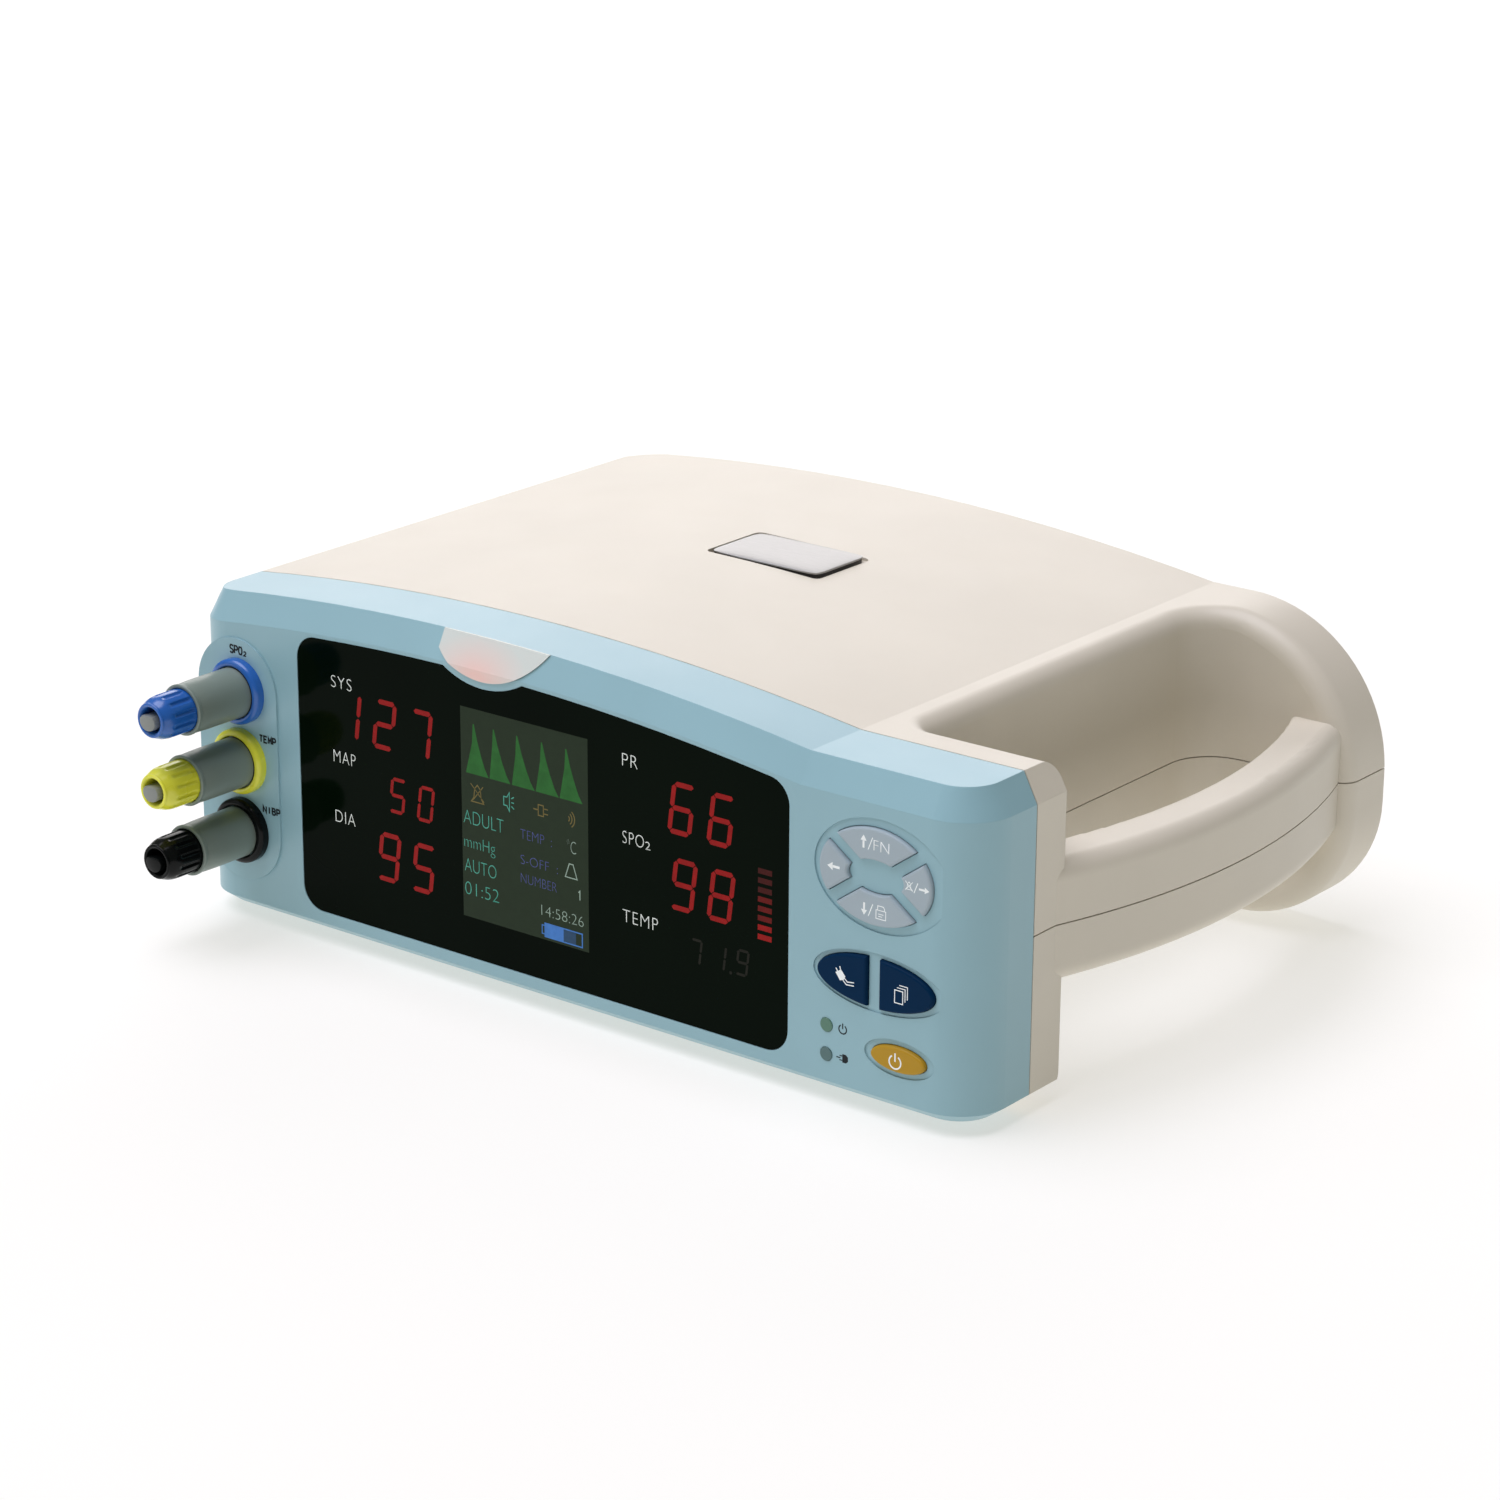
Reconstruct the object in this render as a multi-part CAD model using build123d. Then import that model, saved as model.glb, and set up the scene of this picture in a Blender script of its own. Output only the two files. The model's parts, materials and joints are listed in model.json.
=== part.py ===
from build123d import *
import math
import os

# Compact patient monitor.  Millimetres, +Z up, front face towards -Y.
# Everything is modelled from the body's lower front left corner (x from the left side,
# y from the front face, z from the underside) and moved, when it is written, so that the
# origin is on the ground under the middle of the whole object.

# ---- driving dimensions -------------------------------------------------------------
BODY_DEPTH = 192.3        # front face to rear face
FRAME_RIGHT = 269.8       # left side to the right side of the front frame
OVERALL_WIDTH = 281.4     # left side to the bow of the handle
PLUG_REACH = 35.8         # plug ends ahead of the front face
FOOT_HEIGHT = 3.0

SEAM_Y = 25.0             # bezel meets the covers
FRAME_REAR_Y = 38.0       # rear of the front frame, front wall of the hand opening
PARTING_Z = 46.0          # top cover meets bottom cover
SEAM_GAP = 0.3

SHOULDER_Z = 89.0         # flat right-hand part of the top
CREASE_X = 215.4          # where the domed top meets the shoulder
DOME_RADIUS = 787.0
DOME_X = 101.4
DOME_TOP_Z = 97.3

WALL = 2.5
FRONT_CORNER_R = 14.0
REAR_CORNER_R = 18.0
TOP_CHAMFER_IN = 4.2      # top edge band, measured along the top
TOP_CHAMFER_DOWN = 8.0    # top edge band, measured down the side
BOTTOM_CHAMFER_UP = 3.1

BODY_WALL_X = 224.9       # body side of the hand opening
LOBE_Y = 172.5            # front of the rear lobe, rear wall of the hand opening
LOBE_CENTRE = (228.9, 44.5)
LOBE_R = 44.5
LOBE_LOW_CENTRE = (237.4, 36.0)
LOBE_LOW_R = 36.0
OPENING_CORNER_R = 14.0
OPENING_FRONT_R = 5.0
OPENING_RIM_R = 5.4

HANDLE_BOTTOM_Z = 29.5
HANDLE_TOP_Z = 62.5
HANDLE_OUTER_R = 213.0
HANDLE_MID_Y = 104.0
HANDLE_INNER_MID_X = 267.0
HANDLE_INNER_END_X = 254.2
HANDLE_OUTER_FILLET = 5.0
HANDLE_INNER_FILLET = 2.0

WINDOW_LEFT = 41.4
WINDOW_RIGHT = 211.9
WINDOW_BOTTOM = 6.5
WINDOW_BELOW_DOME = 9.1
WINDOW_CORNER_R = 7.0
WINDOW_FRONT_Y = 0.1
WINDOW_THICK = 1.8

LENS_CENTRE = (109.4, 111.2)
LENS_R = 24.9
LENS_NOTCH_R = 27.0
LENS_LEFT = 93.0
LENS_PROUD = 0.5

CONNECTOR_X = 19.4
CONNECTOR_PITCH = 20.5
CONNECTOR_LOW_Z = 24.5
CONNECTORS = ("nibp", "temp", "spo2")      # from the lowest up
PAD_R = 15.0
PAD_X = 18.4
PAD_PROUD = 0.6

NAV_RECESS_CENTRE = (240.5, 62.3)
NAV_RECESS = (20.6, 15.0)
NAV_CENTRE = (239.2, 62.0)
NAV_OUTER = (17.4, 12.9)
NAV_INNER = (8.6, 4.4)
NAV_GAP_SLOPE = 0.72
NAV_UPPER_OFFSET = -0.4
NAV_SIDE_OFFSET = 3.8
PAIR_RECESS_CENTRE = (240.0, 33.7)
PAIR_RECESS = (20.1, 7.9)
PAIR_CENTRE = (239.6, 33.7)
PAIR_KEY = (18.2, 6.8)
PAIR_GAP = (-2.5, 1.3)
POWER_CENTRE = (247.0, 14.95)
POWER_RECESS = (10.7, 4.9)
POWER_KEY = (8.5, 3.5)
RECESS_DEPTH = 0.4
KEY_PROUD = 0.9
KEY_EDGE_R = 0.7
KEY_BACK_Y = 5.0
KEY_CLEAR = 0.18
KEY_FLANGE = 0.9
FLANGE_RIGHT = 257.5      # the plate's flat inside ends here
INDICATOR_X = 224.3
INDICATOR_Z = {"power": 18.5, "charge": 10.5}
INDICATOR_R = 1.95

BADGE_CENTRE = (121.4, 116.5)
BADGE_SIZE = (40.0, 25.0)
BADGE_RECESS = 1.5
BADGE_THICK = 2.4
BADGE_GAP = 0.9

SWITCH_FRONT_Y = 6.2
BOARD_THICK = 1.6
KEY_BOARD_Y = 9.6
DISPLAY_BOARD_Y = 12.0
MAIN_BOARD_Z = 8.0

FOOT_R = 8.0
FOOT_PLACES = [(26, 46), (26, 166), (200, 46), (200, 166)]
POST_PLACES = [(10.5, 34), (12, 176), (212, 176), (212, 46)]
BEZEL_SCREW_PLACES = [(34, 12), (34, 76), (262.5, 12), (262.5, 76)]
MAIN_BOARD_BOX = (26, 112, 34, 124)
SUPPLY_BOARD_BOX = (24, 110, 142, 184)
BATTERY_OPENING = (122, 188, 52, 128)

SHIFT = Location((-OVERALL_WIDTH / 2,
                  PLUG_REACH - (BODY_DEPTH + PLUG_REACH) / 2,
                  FOOT_HEIGHT))


# ---- helpers ------------------------------------------------------------------------
def save(name, shape):
    os.makedirs("parts", exist_ok=True)
    export_step(SHIFT * shape, "parts/" + name + ".step")


def block(x0, x1, y0, y1, z0, z1):
    return Pos((x0 + x1) / 2, (y0 + y1) / 2, (z0 + z1) / 2) * Box(x1 - x0, y1 - y0, z1 - z0)


def prism_y(face, y0, y1):
    """Extrude a face drawn on the XZ plane from y0 back to y1."""
    return Pos(0, y0, 0) * extrude(face, amount=y1 - y0, dir=(0, 1, 0))


def prism_z(face, z0, z1):
    return Pos(0, 0, z0) * extrude(face, amount=z1 - z0, dir=(0, 0, 1))


def rod_y(x, z, r, y0, y1):
    return Pos(x, (y0 + y1) / 2, z) * Rot(90, 0, 0) * Cylinder(r, y1 - y0)


def rod_z(x, y, r, z0, z1):
    return Pos(x, y, (z0 + z1) / 2) * Cylinder(r, z1 - z0)


def rod_x(y, z, r, x0, x1):
    return Pos((x0 + x1) / 2, y, z) * Rot(0, 90, 0) * Cylinder(r, x1 - x0)


def ring_y(x, z, r_out, r_in, y0, y1):
    return rod_y(x, z, r_out, y0, y1) - rod_y(x, z, r_in, y0 - 1, y1 + 1)


def ellipse_face(centre, half, grow=0.0):
    return Plane.XZ * Pos(*centre) * Ellipse(half[0] + grow, half[1] + grow)


def polygon_face(points):
    return make_face(Plane.XZ * Polyline(*points, points[0]))


def dome_z(x, inset=0.0):
    """Height of the domed top at x, or of a surface that lies inset below it."""
    rise = math.sqrt((DOME_RADIUS - inset) ** 2 - (x - DOME_X) ** 2)
    return DOME_TOP_Z - DOME_RADIUS + rise


# ---- housing form -------------------------------------------------------------------
FAR = 400.0


def chamfer_band(solid, face, keep, length, length2):
    edges = [e for e in face.edges() if keep(e.center())]
    return chamfer(edges, length, length2, reference=face)


def domed_block(inset):
    """Left part of the body under the domed top, as far as the crease."""
    reach = 240.0
    depth = BODY_DEPTH + 40
    low = Polyline((inset, dome_z(inset, inset)), (inset, inset), (reach, inset),
                   (reach, dome_z(reach, inset)))
    arch = ThreePointArc((reach, dome_z(reach, inset)), (DOME_X, DOME_TOP_Z - inset),
                         (inset, dome_z(inset, inset)))
    solid = prism_y(make_face(Plane.XZ * (low + arch)), inset, depth)
    corner = solid.edges().filter_by(Axis.Z).filter_by(
        lambda e: e.center().Y < inset + 1 and e.center().X < inset + 1)
    solid = fillet(corner, FRONT_CORNER_R - inset)

    def outer(c):
        return c.Y < depth - 1 and c.X < reach - 1

    dome = solid.faces().filter_by(GeomType.CYLINDER).sort_by(Axis.Z)[-1]
    solid = chamfer_band(solid, dome, outer, TOP_CHAMFER_IN, TOP_CHAMFER_DOWN)
    base = solid.faces().sort_by(Axis.Z)[0]
    solid = chamfer_band(solid, base, outer, TOP_CHAMFER_IN, BOTTOM_CHAMFER_UP)
    solid = solid & block(-1, CREASE_X, -1, FAR, -1, FAR)
    rear = block(inset, FAR, -50, BODY_DEPTH - inset, -20, FAR)
    corner = rear.edges().filter_by(Axis.Z).filter_by(
        lambda e: e.center().Y > BODY_DEPTH - inset - 1 and e.center().X < inset + 1)
    return solid & fillet(corner, REAR_CORNER_R - inset)


def shoulder_block(inset):
    """Right part of the front frame under the flat shoulder."""
    start = 120.0
    back = 100.0
    right = FRAME_RIGHT - inset
    solid = block(start, right, inset, back, inset, SHOULDER_Z - inset)
    corner = solid.edges().filter_by(Axis.Z).filter_by(
        lambda e: e.center().Y < inset + 1 and e.center().X > right - 1)
    solid = fillet(corner, FRONT_CORNER_R - inset)

    def outer(c):
        return c.Y < back - 1 and c.X > start + 1

    top = solid.faces().sort_by(Axis.Z)[-1]
    solid = chamfer_band(solid, top, outer, TOP_CHAMFER_IN, TOP_CHAMFER_DOWN)
    base = solid.faces().sort_by(Axis.Z)[0]
    solid = chamfer_band(solid, base, outer, TOP_CHAMFER_IN, BOTTOM_CHAMFER_UP)
    return solid & block(CREASE_X, FAR, -1, FRAME_REAR_Y - inset, -1, FAR)


def lobe(inset, y0, y1, left=CREASE_X):
    """Rounded end of the body behind the hand opening, seen from the front."""
    cx, cz = LOBE_CENTRE
    lx, lz = LOBE_LOW_CENTRE
    r = LOBE_R - inset
    low_r = LOBE_LOW_R - inset
    diagonal = math.sqrt(0.5)
    outline = Polyline((left, SHOULDER_Z - inset), (cx, SHOULDER_Z - inset))
    outline += ThreePointArc((cx, cz + r), (cx + r * diagonal, cz + r * diagonal), (cx + r, cz))
    outline += Line((cx + r, cz), (lx + low_r, lz))
    outline += ThreePointArc((lx + low_r, lz), (lx + low_r * diagonal, lz - low_r * diagonal),
                             (lx, lz - low_r))
    outline += Polyline((lx, lz - low_r), (left, inset), (left, SHOULDER_Z - inset))
    return prism_y(make_face(Plane.XZ * outline), y0, y1)


def handle_outer_x(y):
    centre_x = OVERALL_WIDTH - HANDLE_OUTER_R
    return centre_x + math.sqrt(HANDLE_OUTER_R ** 2 - (y - HANDLE_MID_Y) ** 2)


def handle_bar(inset, y0, y1):
    """Bowed grip between two arcs, with its long edges rounded."""
    gy0 = FRAME_REAR_Y
    gy1 = LOBE_Y
    outer = ThreePointArc((handle_outer_x(y0) - inset, y0), (OVERALL_WIDTH - inset, HANDLE_MID_Y),
                          (handle_outer_x(y1) - inset, y1))
    inner = ThreePointArc((HANDLE_INNER_END_X + inset, gy0),
                          (HANDLE_INNER_MID_X + inset, HANDLE_MID_Y),
                          (HANDLE_INNER_END_X + inset, gy1))
    ends = (Polyline((handle_outer_x(y0) - inset, y0), (HANDLE_INNER_END_X + inset, y0),
                     (HANDLE_INNER_END_X + inset, gy0)),
            Polyline((HANDLE_INNER_END_X + inset, gy1), (HANDLE_INNER_END_X + inset, y1),
                     (handle_outer_x(y1) - inset, y1)))
    face = make_face(outer + ends[0] + inner + ends[1])
    return prism_z(face, HANDLE_BOTTOM_Z + inset, HANDLE_TOP_Z - inset)


def arc_edges_at(solid, x_low, x_high):
    """Horizontal curved edges of the grip whose middle lies between two x values."""
    return [e for e in solid.edges()
            if e.geom_type == GeomType.CIRCLE and e.length > 60
            and x_low < (e @ 0.5).X < x_high]


def upright_edges_at(solid, x, y):
    return [e for e in solid.edges().filter_by(Axis.Z)
            if abs(e.center().X - x) < 0.1 and abs(e.center().Y - y) < 0.1]


def opening_rim(solid):
    """Edges round the hand opening: along the body wall and round the front of the lobe."""
    rim = []
    for e in solid.edges():
        box = e.bounding_box()
        ahead = box.max.Y < LOBE_Y + 0.1 and box.min.X > BODY_WALL_X - 0.1
        wall = (box.max.X < BODY_WALL_X + 0.1 and box.size.Z < 1 and box.size.Y > 50)
        round_lobe = box.min.Y > LOBE_Y - 15 and box.size.Z < 80
        if ahead and (wall or round_lobe):
            rim.append(e)
    return rim


def outer_form():
    strip = block(CREASE_X, BODY_WALL_X, FRAME_REAR_Y - 5, BODY_DEPTH, 0, SHOULDER_Z)
    form = domed_block(0) + shoulder_block(0) + strip + lobe(0, LOBE_Y, BODY_DEPTH)
    form = fillet(upright_edges_at(form, BODY_WALL_X, LOBE_Y), OPENING_CORNER_R)
    form = fillet(upright_edges_at(form, BODY_WALL_X, FRAME_REAR_Y), OPENING_FRONT_R)
    form = fillet(opening_rim(form), OPENING_RIM_R)
    grip = handle_bar(0, FRAME_REAR_Y - 8, LOBE_Y + 6)
    grip = fillet(arc_edges_at(grip, OVERALL_WIDTH - 1, OVERALL_WIDTH + 1), HANDLE_OUTER_FILLET)
    grip = fillet(arc_edges_at(grip, HANDLE_INNER_MID_X - 1, HANDLE_INNER_MID_X + 1),
                  HANDLE_INNER_FILLET)
    form += grip
    pad_low = CONNECTOR_LOW_Z
    pad_high = CONNECTOR_LOW_Z + 2 * CONNECTOR_PITCH
    pad = (rod_y(PAD_X, pad_low, PAD_R, -PAD_PROUD, 8) + rod_y(PAD_X, pad_high, PAD_R, -PAD_PROUD, 8)
           + block(PAD_X - PAD_R, PAD_X + PAD_R, -PAD_PROUD, 8, pad_low, pad_high))
    return form + pad


def inner_form():
    """Hollow inside the housing: main room, frame room, lobe room and grip channel."""
    room = domed_block(WALL) + shoulder_block(WALL)
    room += block(CREASE_X - 1, BODY_WALL_X - WALL, FRAME_REAR_Y - WALL - 1, LOBE_Y + WALL + 1,
                  WALL, SHOULDER_Z - OPENING_RIM_R)
    room += lobe(WALL + 3, LOBE_Y + WALL, BODY_DEPTH - WALL, left=CREASE_X - 5)
    grip_room = (handle_bar(3, FRAME_REAR_Y - 8, LOBE_Y + 6)
                 & block(200, FAR, FRAME_REAR_Y + 2, LOBE_Y - 2, 0, SHOULDER_Z))
    return room, grip_room


# ---- front plate details --------------------------------------------------------------
def connector_z(index):
    return CONNECTOR_LOW_Z + index * CONNECTOR_PITCH


def window_face(inset):
    """Outline of the display window; its top edge runs parallel to the dome."""
    left = WINDOW_LEFT + inset
    right = WINDOW_RIGHT - inset
    low = WINDOW_BOTTOM + inset
    drop = WINDOW_BELOW_DOME + inset
    sides = Polyline((left, dome_z(left, drop)), (left, low), (right, low),
                     (right, dome_z(right, drop)))
    top = ThreePointArc((right, dome_z(right, drop)), (DOME_X, DOME_TOP_Z - drop),
                        (left, dome_z(left, drop)))
    face = make_face(Plane.XZ * (sides + top))
    face = fillet(face.vertices(), max(WINDOW_CORNER_R - inset, 2.0))
    return face - Plane.XZ * Pos(*LENS_CENTRE) * Circle(LENS_NOTCH_R + inset)


def nav_key_face(direction, shrink=0.0):
    cx, cz = NAV_CENTRE
    far = 30.0
    ring = (ellipse_face(NAV_CENTRE, NAV_OUTER, -shrink)
            - ellipse_face(NAV_CENTRE, NAV_INNER, shrink))
    tilt = math.hypot(1, NAV_GAP_SLOPE)
    if direction in ("up", "down"):
        side = 1 if direction == "up" else -1
        start = -NAV_UPPER_OFFSET + shrink * tilt
        fan = polygon_face([(cx, cz + side * start),
                            (cx + far, cz + side * (start + far * NAV_GAP_SLOPE)),
                            (cx - far, cz + side * (start + far * NAV_GAP_SLOPE))])
    else:
        side = 1 if direction == "right" else -1
        start = (NAV_SIDE_OFFSET + shrink * tilt) / NAV_GAP_SLOPE
        spread = (far - start) * NAV_GAP_SLOPE
        fan = polygon_face([(cx + side * start, cz), (cx + side * far, cz + spread),
                            (cx + side * far, cz - spread)])
    return ring & fan


def pair_key_face(which, shrink=0.0):
    cx, cz = PAIR_CENTRE
    whole = ellipse_face(PAIR_CENTRE, PAIR_KEY, -shrink)
    if which == "left":
        half = polygon_face([(cx - 30, cz - 20), (cx + PAIR_GAP[0] - shrink, cz - 20),
                             (cx + PAIR_GAP[0] - shrink, cz + 20), (cx - 30, cz + 20)])
    else:
        half = polygon_face([(cx + PAIR_GAP[1] + shrink, cz - 20), (cx + 30, cz - 20),
                             (cx + 30, cz + 20), (cx + PAIR_GAP[1] + shrink, cz + 20)])
    return whole & half


def power_key_face(shrink=0.0):
    return ellipse_face(POWER_CENTRE, POWER_KEY, -shrink)


KEY_FACES = {
    "up_key": lambda s: nav_key_face("up", s),
    "down_key": lambda s: nav_key_face("down", s),
    "left_key": lambda s: nav_key_face("left", s),
    "right_key": lambda s: nav_key_face("right", s),
    "cuff_key": lambda s: pair_key_face("left", s),
    "pages_key": lambda s: pair_key_face("right", s),
    "power_key": lambda s: power_key_face(s),
}
SWITCH_PLACES = [
    (NAV_CENTRE[0], NAV_CENTRE[1] + 8.6), (NAV_CENTRE[0], NAV_CENTRE[1] - 8.6),
    (NAV_CENTRE[0] - 13.4, NAV_CENTRE[1]), (NAV_CENTRE[0] + 13.4, NAV_CENTRE[1]),
    (PAIR_CENTRE[0] - 9.6, PAIR_CENTRE[1]), (PAIR_CENTRE[0] + 9.0, PAIR_CENTRE[1]),
    POWER_CENTRE,
]


def key_cap(face_at):
    """Key that stands a little proud, with a flange that keeps it behind the plate."""
    cap = prism_y(face_at(KEY_CLEAR / 2), -KEY_PROUD, WALL + 0.2)
    front = cap.faces().sort_by(Axis.Y)[0]
    cap = fillet(front.edges(), KEY_EDGE_R)
    flange = prism_y(face_at(-KEY_FLANGE), WALL + 0.2, WALL + 1.2)
    flange = flange & block(0, FLANGE_RIGHT, 0, 10, 0, FAR)
    stem = prism_y(face_at(1.2), WALL + 1.2, KEY_BACK_Y)
    return cap + flange + stem


def lens_room(grow):
    """Space of the alarm lens: a disc, cut off straight and upright on its left."""
    disc = rod_y(*LENS_CENTRE, LENS_R + grow, -4, TOP_CHAMFER_IN)
    return disc & block(LENS_LEFT - grow, FAR, -4, TOP_CHAMFER_IN, 0, FAR)


# ---- housing pieces -----------------------------------------------------------------
def front_bezel(outer, room):
    shell = outer & block(-20, FAR, -20, SEAM_Y - SEAM_GAP / 2, -20, FAR)
    shell -= room
    shell += (prism_y(window_face(-3), WINDOW_FRONT_Y + WINDOW_THICK, 4.0)
              & (outer & block(-20, FAR, -20, 10, -20, FAR)))
    shell -= prism_y(window_face(0), -1, WINDOW_FRONT_Y + WINDOW_THICK)
    shell -= prism_y(window_face(2.5), -1, 6)
    shell += ring_y(*LENS_CENTRE, LENS_R + 1.4, LENS_R - 3, TOP_CHAMFER_IN, 6) & room
    shell -= lens_room(0.1)
    for index in range(len(CONNECTORS)):
        shell -= rod_y(CONNECTOR_X, connector_z(index), 7.0, -5, 12)
    shell -= prism_y(ellipse_face(NAV_RECESS_CENTRE, NAV_RECESS), -1, RECESS_DEPTH)
    shell -= prism_y(ellipse_face(PAIR_RECESS_CENTRE, PAIR_RECESS), -1, RECESS_DEPTH)
    shell -= prism_y(ellipse_face(POWER_CENTRE, POWER_RECESS), -1, RECESS_DEPTH)
    for face_at in KEY_FACES.values():
        shell -= prism_y(face_at(-KEY_CLEAR / 2), -1, WALL + 1.5)
    for z in INDICATOR_Z.values():
        shell -= rod_y(INDICATOR_X, z, INDICATOR_R, -1, 5)
    for x, z in BEZEL_SCREW_PLACES:
        post = rod_y(x, z, 3.2, 8 if x > CREASE_X else WALL - 0.5, SEAM_Y - SEAM_GAP / 2)
        shell += post
        shell -= rod_y(x, z, 1.4, 10, SEAM_Y + 1)
    return shell


def bezel_tab(x, z):
    """Tab behind the seam that carries a bezel screw; it reaches the nearest cover wall."""
    side = 6.0
    low, high = (z - side, FAR) if z > PARTING_Z else (0, z + side)
    return block(x - side, x + side, SEAM_Y + SEAM_GAP / 2, SEAM_Y + 3, low, high)


def cover_blank(outer, room, grip_room, z0, z1):
    shell = outer & block(-20, FAR, SEAM_Y + SEAM_GAP / 2, FAR, z0, z1)
    return shell - room - grip_room


def top_cover(outer, room, grip_room):
    z0 = PARTING_Z + SEAM_GAP / 2
    shell = cover_blank(outer, room, grip_room, z0, FAR)
    for x, y in POST_PLACES:
        shell += rod_z(x, y, 4.5, z0, 90) & room
        shell -= rod_z(x, y, 1.4, z0 - 1, 60)
    for x, z in BEZEL_SCREW_PLACES:
        if z > PARTING_Z:
            shell += bezel_tab(x, z) & room
            shell -= rod_y(x, z, 1.7, SEAM_Y, SEAM_Y + 5)
    cx, cy = BADGE_CENTRE
    half_x, half_y = BADGE_SIZE[0] / 2, BADGE_SIZE[1] / 2
    recess = block(cx - half_x, cx + half_x, cy - half_y, cy + half_y, dome_z(cx) - BADGE_RECESS,
                   FAR)
    recess = fillet(recess.edges().filter_by(Axis.Z), 2.0)
    return shell - recess


def badge_plate():
    cx, cy = BADGE_CENTRE
    half_x, half_y = BADGE_SIZE[0] / 2 - BADGE_GAP, BADGE_SIZE[1] / 2 - BADGE_GAP
    base = dome_z(cx) - BADGE_RECESS
    plate = block(cx - half_x, cx + half_x, cy - half_y, cy + half_y, base,
                  base + BADGE_THICK)
    plate = fillet(plate.edges().filter_by(Axis.Z), 1.5)
    return fillet(plate.faces().sort_by(Axis.Z)[-1].edges(), 0.7)


def bottom_cover(outer, room, grip_room):
    z1 = PARTING_Z - SEAM_GAP / 2
    shell = cover_blank(outer, room, grip_room, -20, z1)
    for x, y in POST_PLACES:
        shell += rod_z(x, y, 4.8, WALL - 0.5, z1)
        shell -= rod_z(x, y, 1.8, -1, 50)
        shell -= rod_z(x, y, 3.6, -1, 36)
    for x, z in BEZEL_SCREW_PLACES:
        if z < PARTING_Z:
            shell += bezel_tab(x, z) & room
            shell -= rod_y(x, z, 1.7, SEAM_Y, SEAM_Y + 5)
    for x, y in board_post_places():
        shell += rod_z(x, y, 3.2, WALL - 0.5, MAIN_BOARD_Z)
        shell -= rod_z(x, y, 1.2, 4, MAIN_BOARD_Z + 1)
    for x, y in FOOT_PLACES:
        shell -= rod_z(x, y, 3.0, -1, WALL + 1)
    x0, x1, y0, y1 = BATTERY_OPENING
    shell -= block(x0, x1, y0, y1, -1, WALL + 0.2)
    for ty in (y0, y1):
        shell += block(150, 160, ty - 6, ty + 6, WALL, WALL + 3)
        shell -= rod_z(155, ty + (4 if ty == y0 else -4), 1.2, 0, WALL + 4)
    for row in range(-4, 5):
        reach = math.sqrt(16.0 ** 2 - (row * 3.6) ** 2)
        shell -= block(-1, WALL + 1, SPEAKER_Y + row * 3.6 - 0.8, SPEAKER_Y + row * 3.6 + 0.8,
                       SPEAKER_Z - reach, SPEAKER_Z + reach)
    shell -= inlet_block(0.2)
    shell -= data_block(0.2)
    cup_x, cup_z = GROUND_PLACE
    shell += rod_y(cup_x, cup_z, 8.5, GROUND_CUP_Y - WALL, BODY_DEPTH - 1)
    shell -= rod_y(cup_x, cup_z, 6.5, GROUND_CUP_Y, BODY_DEPTH + 1)
    shell -= rod_y(cup_x, cup_z, 2.0, GROUND_CUP_Y - 5, BODY_DEPTH)
    return shell


SPEAKER_Y = 78.0
SPEAKER_Z = 24.0
INLET_BOX = (36, 60, 14, 34)
DATA_BOX = (76, 92, 13, 27)
GROUND_PLACE = (108.0, 22.0)
GROUND_CUP_Y = 185.0


def board_post_places():
    places = []
    for x0, x1, y0, y1 in (MAIN_BOARD_BOX, SUPPLY_BOARD_BOX):
        places += [(x, y) for x in (x0 + 4, x1 - 4) for y in (y0 + 4, y1 - 4)]
    return places


def inlet_block(grow):
    x0, x1, z0, z1 = INLET_BOX
    return block(x0 - grow, x1 + grow, 174 - grow, BODY_DEPTH + 5 * grow, z0 - grow, z1 + grow)


def data_block(grow):
    x0, x1, z0, z1 = DATA_BOX
    return block(x0 - grow, x1 + grow, 176 - grow, BODY_DEPTH + 5 * grow, z0 - grow, z1 + grow)


def rubber_feet():
    feet = []
    for x, y in FOOT_PLACES:
        pad = rod_z(x, y, FOOT_R, -FOOT_HEIGHT, 0)
        pad = fillet(pad.faces().sort_by(Axis.Z)[0].edges(), 0.8)
        feet.append(pad + rod_z(x, y, 2.9, 0, WALL) + rod_z(x, y, 4.0, WALL, WALL + 1.2))
    return group(feet)


def group(shapes):
    return Compound(children=[s for shape in shapes for s in shape.solids()])


# ---- front plate pieces -------------------------------------------------------------
def display_window():
    return prism_y(window_face(0.15), WINDOW_FRONT_Y, WINDOW_FRONT_Y + WINDOW_THICK - 0.05)


def alarm_lens(outer):
    """Lens that follows the edge band and the front face and stands a little proud of them."""
    return (Pos(0, -LENS_PROUD, 0) * outer) & lens_room(0) & block(0, FAR, -4, 4.15, 0, FAR)


def indicator_lens(z):
    dome = rod_y(INDICATOR_X, z, INDICATOR_R - 0.05, -0.25, 8.0)
    dome = fillet(dome.faces().sort_by(Axis.Y)[0].edges(), 0.2)
    return dome + rod_y(INDICATOR_X, z, INDICATOR_R + 0.8, WALL + 0.1, WALL + 1.1)


# ---- patient connectors -------------------------------------------------------------
NUT_R = 9.5
NUT_FRONT_Y = -4.2
SOCKET_R = 6.95
SOCKET_BORE_R = 5.4
SOCKET_FRONT_Y = -2.8
SHELL_R = 7.3
SHELL_END_Y = -23.5
CORE_R = 5.1
COLLET_R = 3.3
COLLET_NUT_R = 6.3
COLLET_NUT_END_Y = -35.3
RIBS = 12


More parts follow.
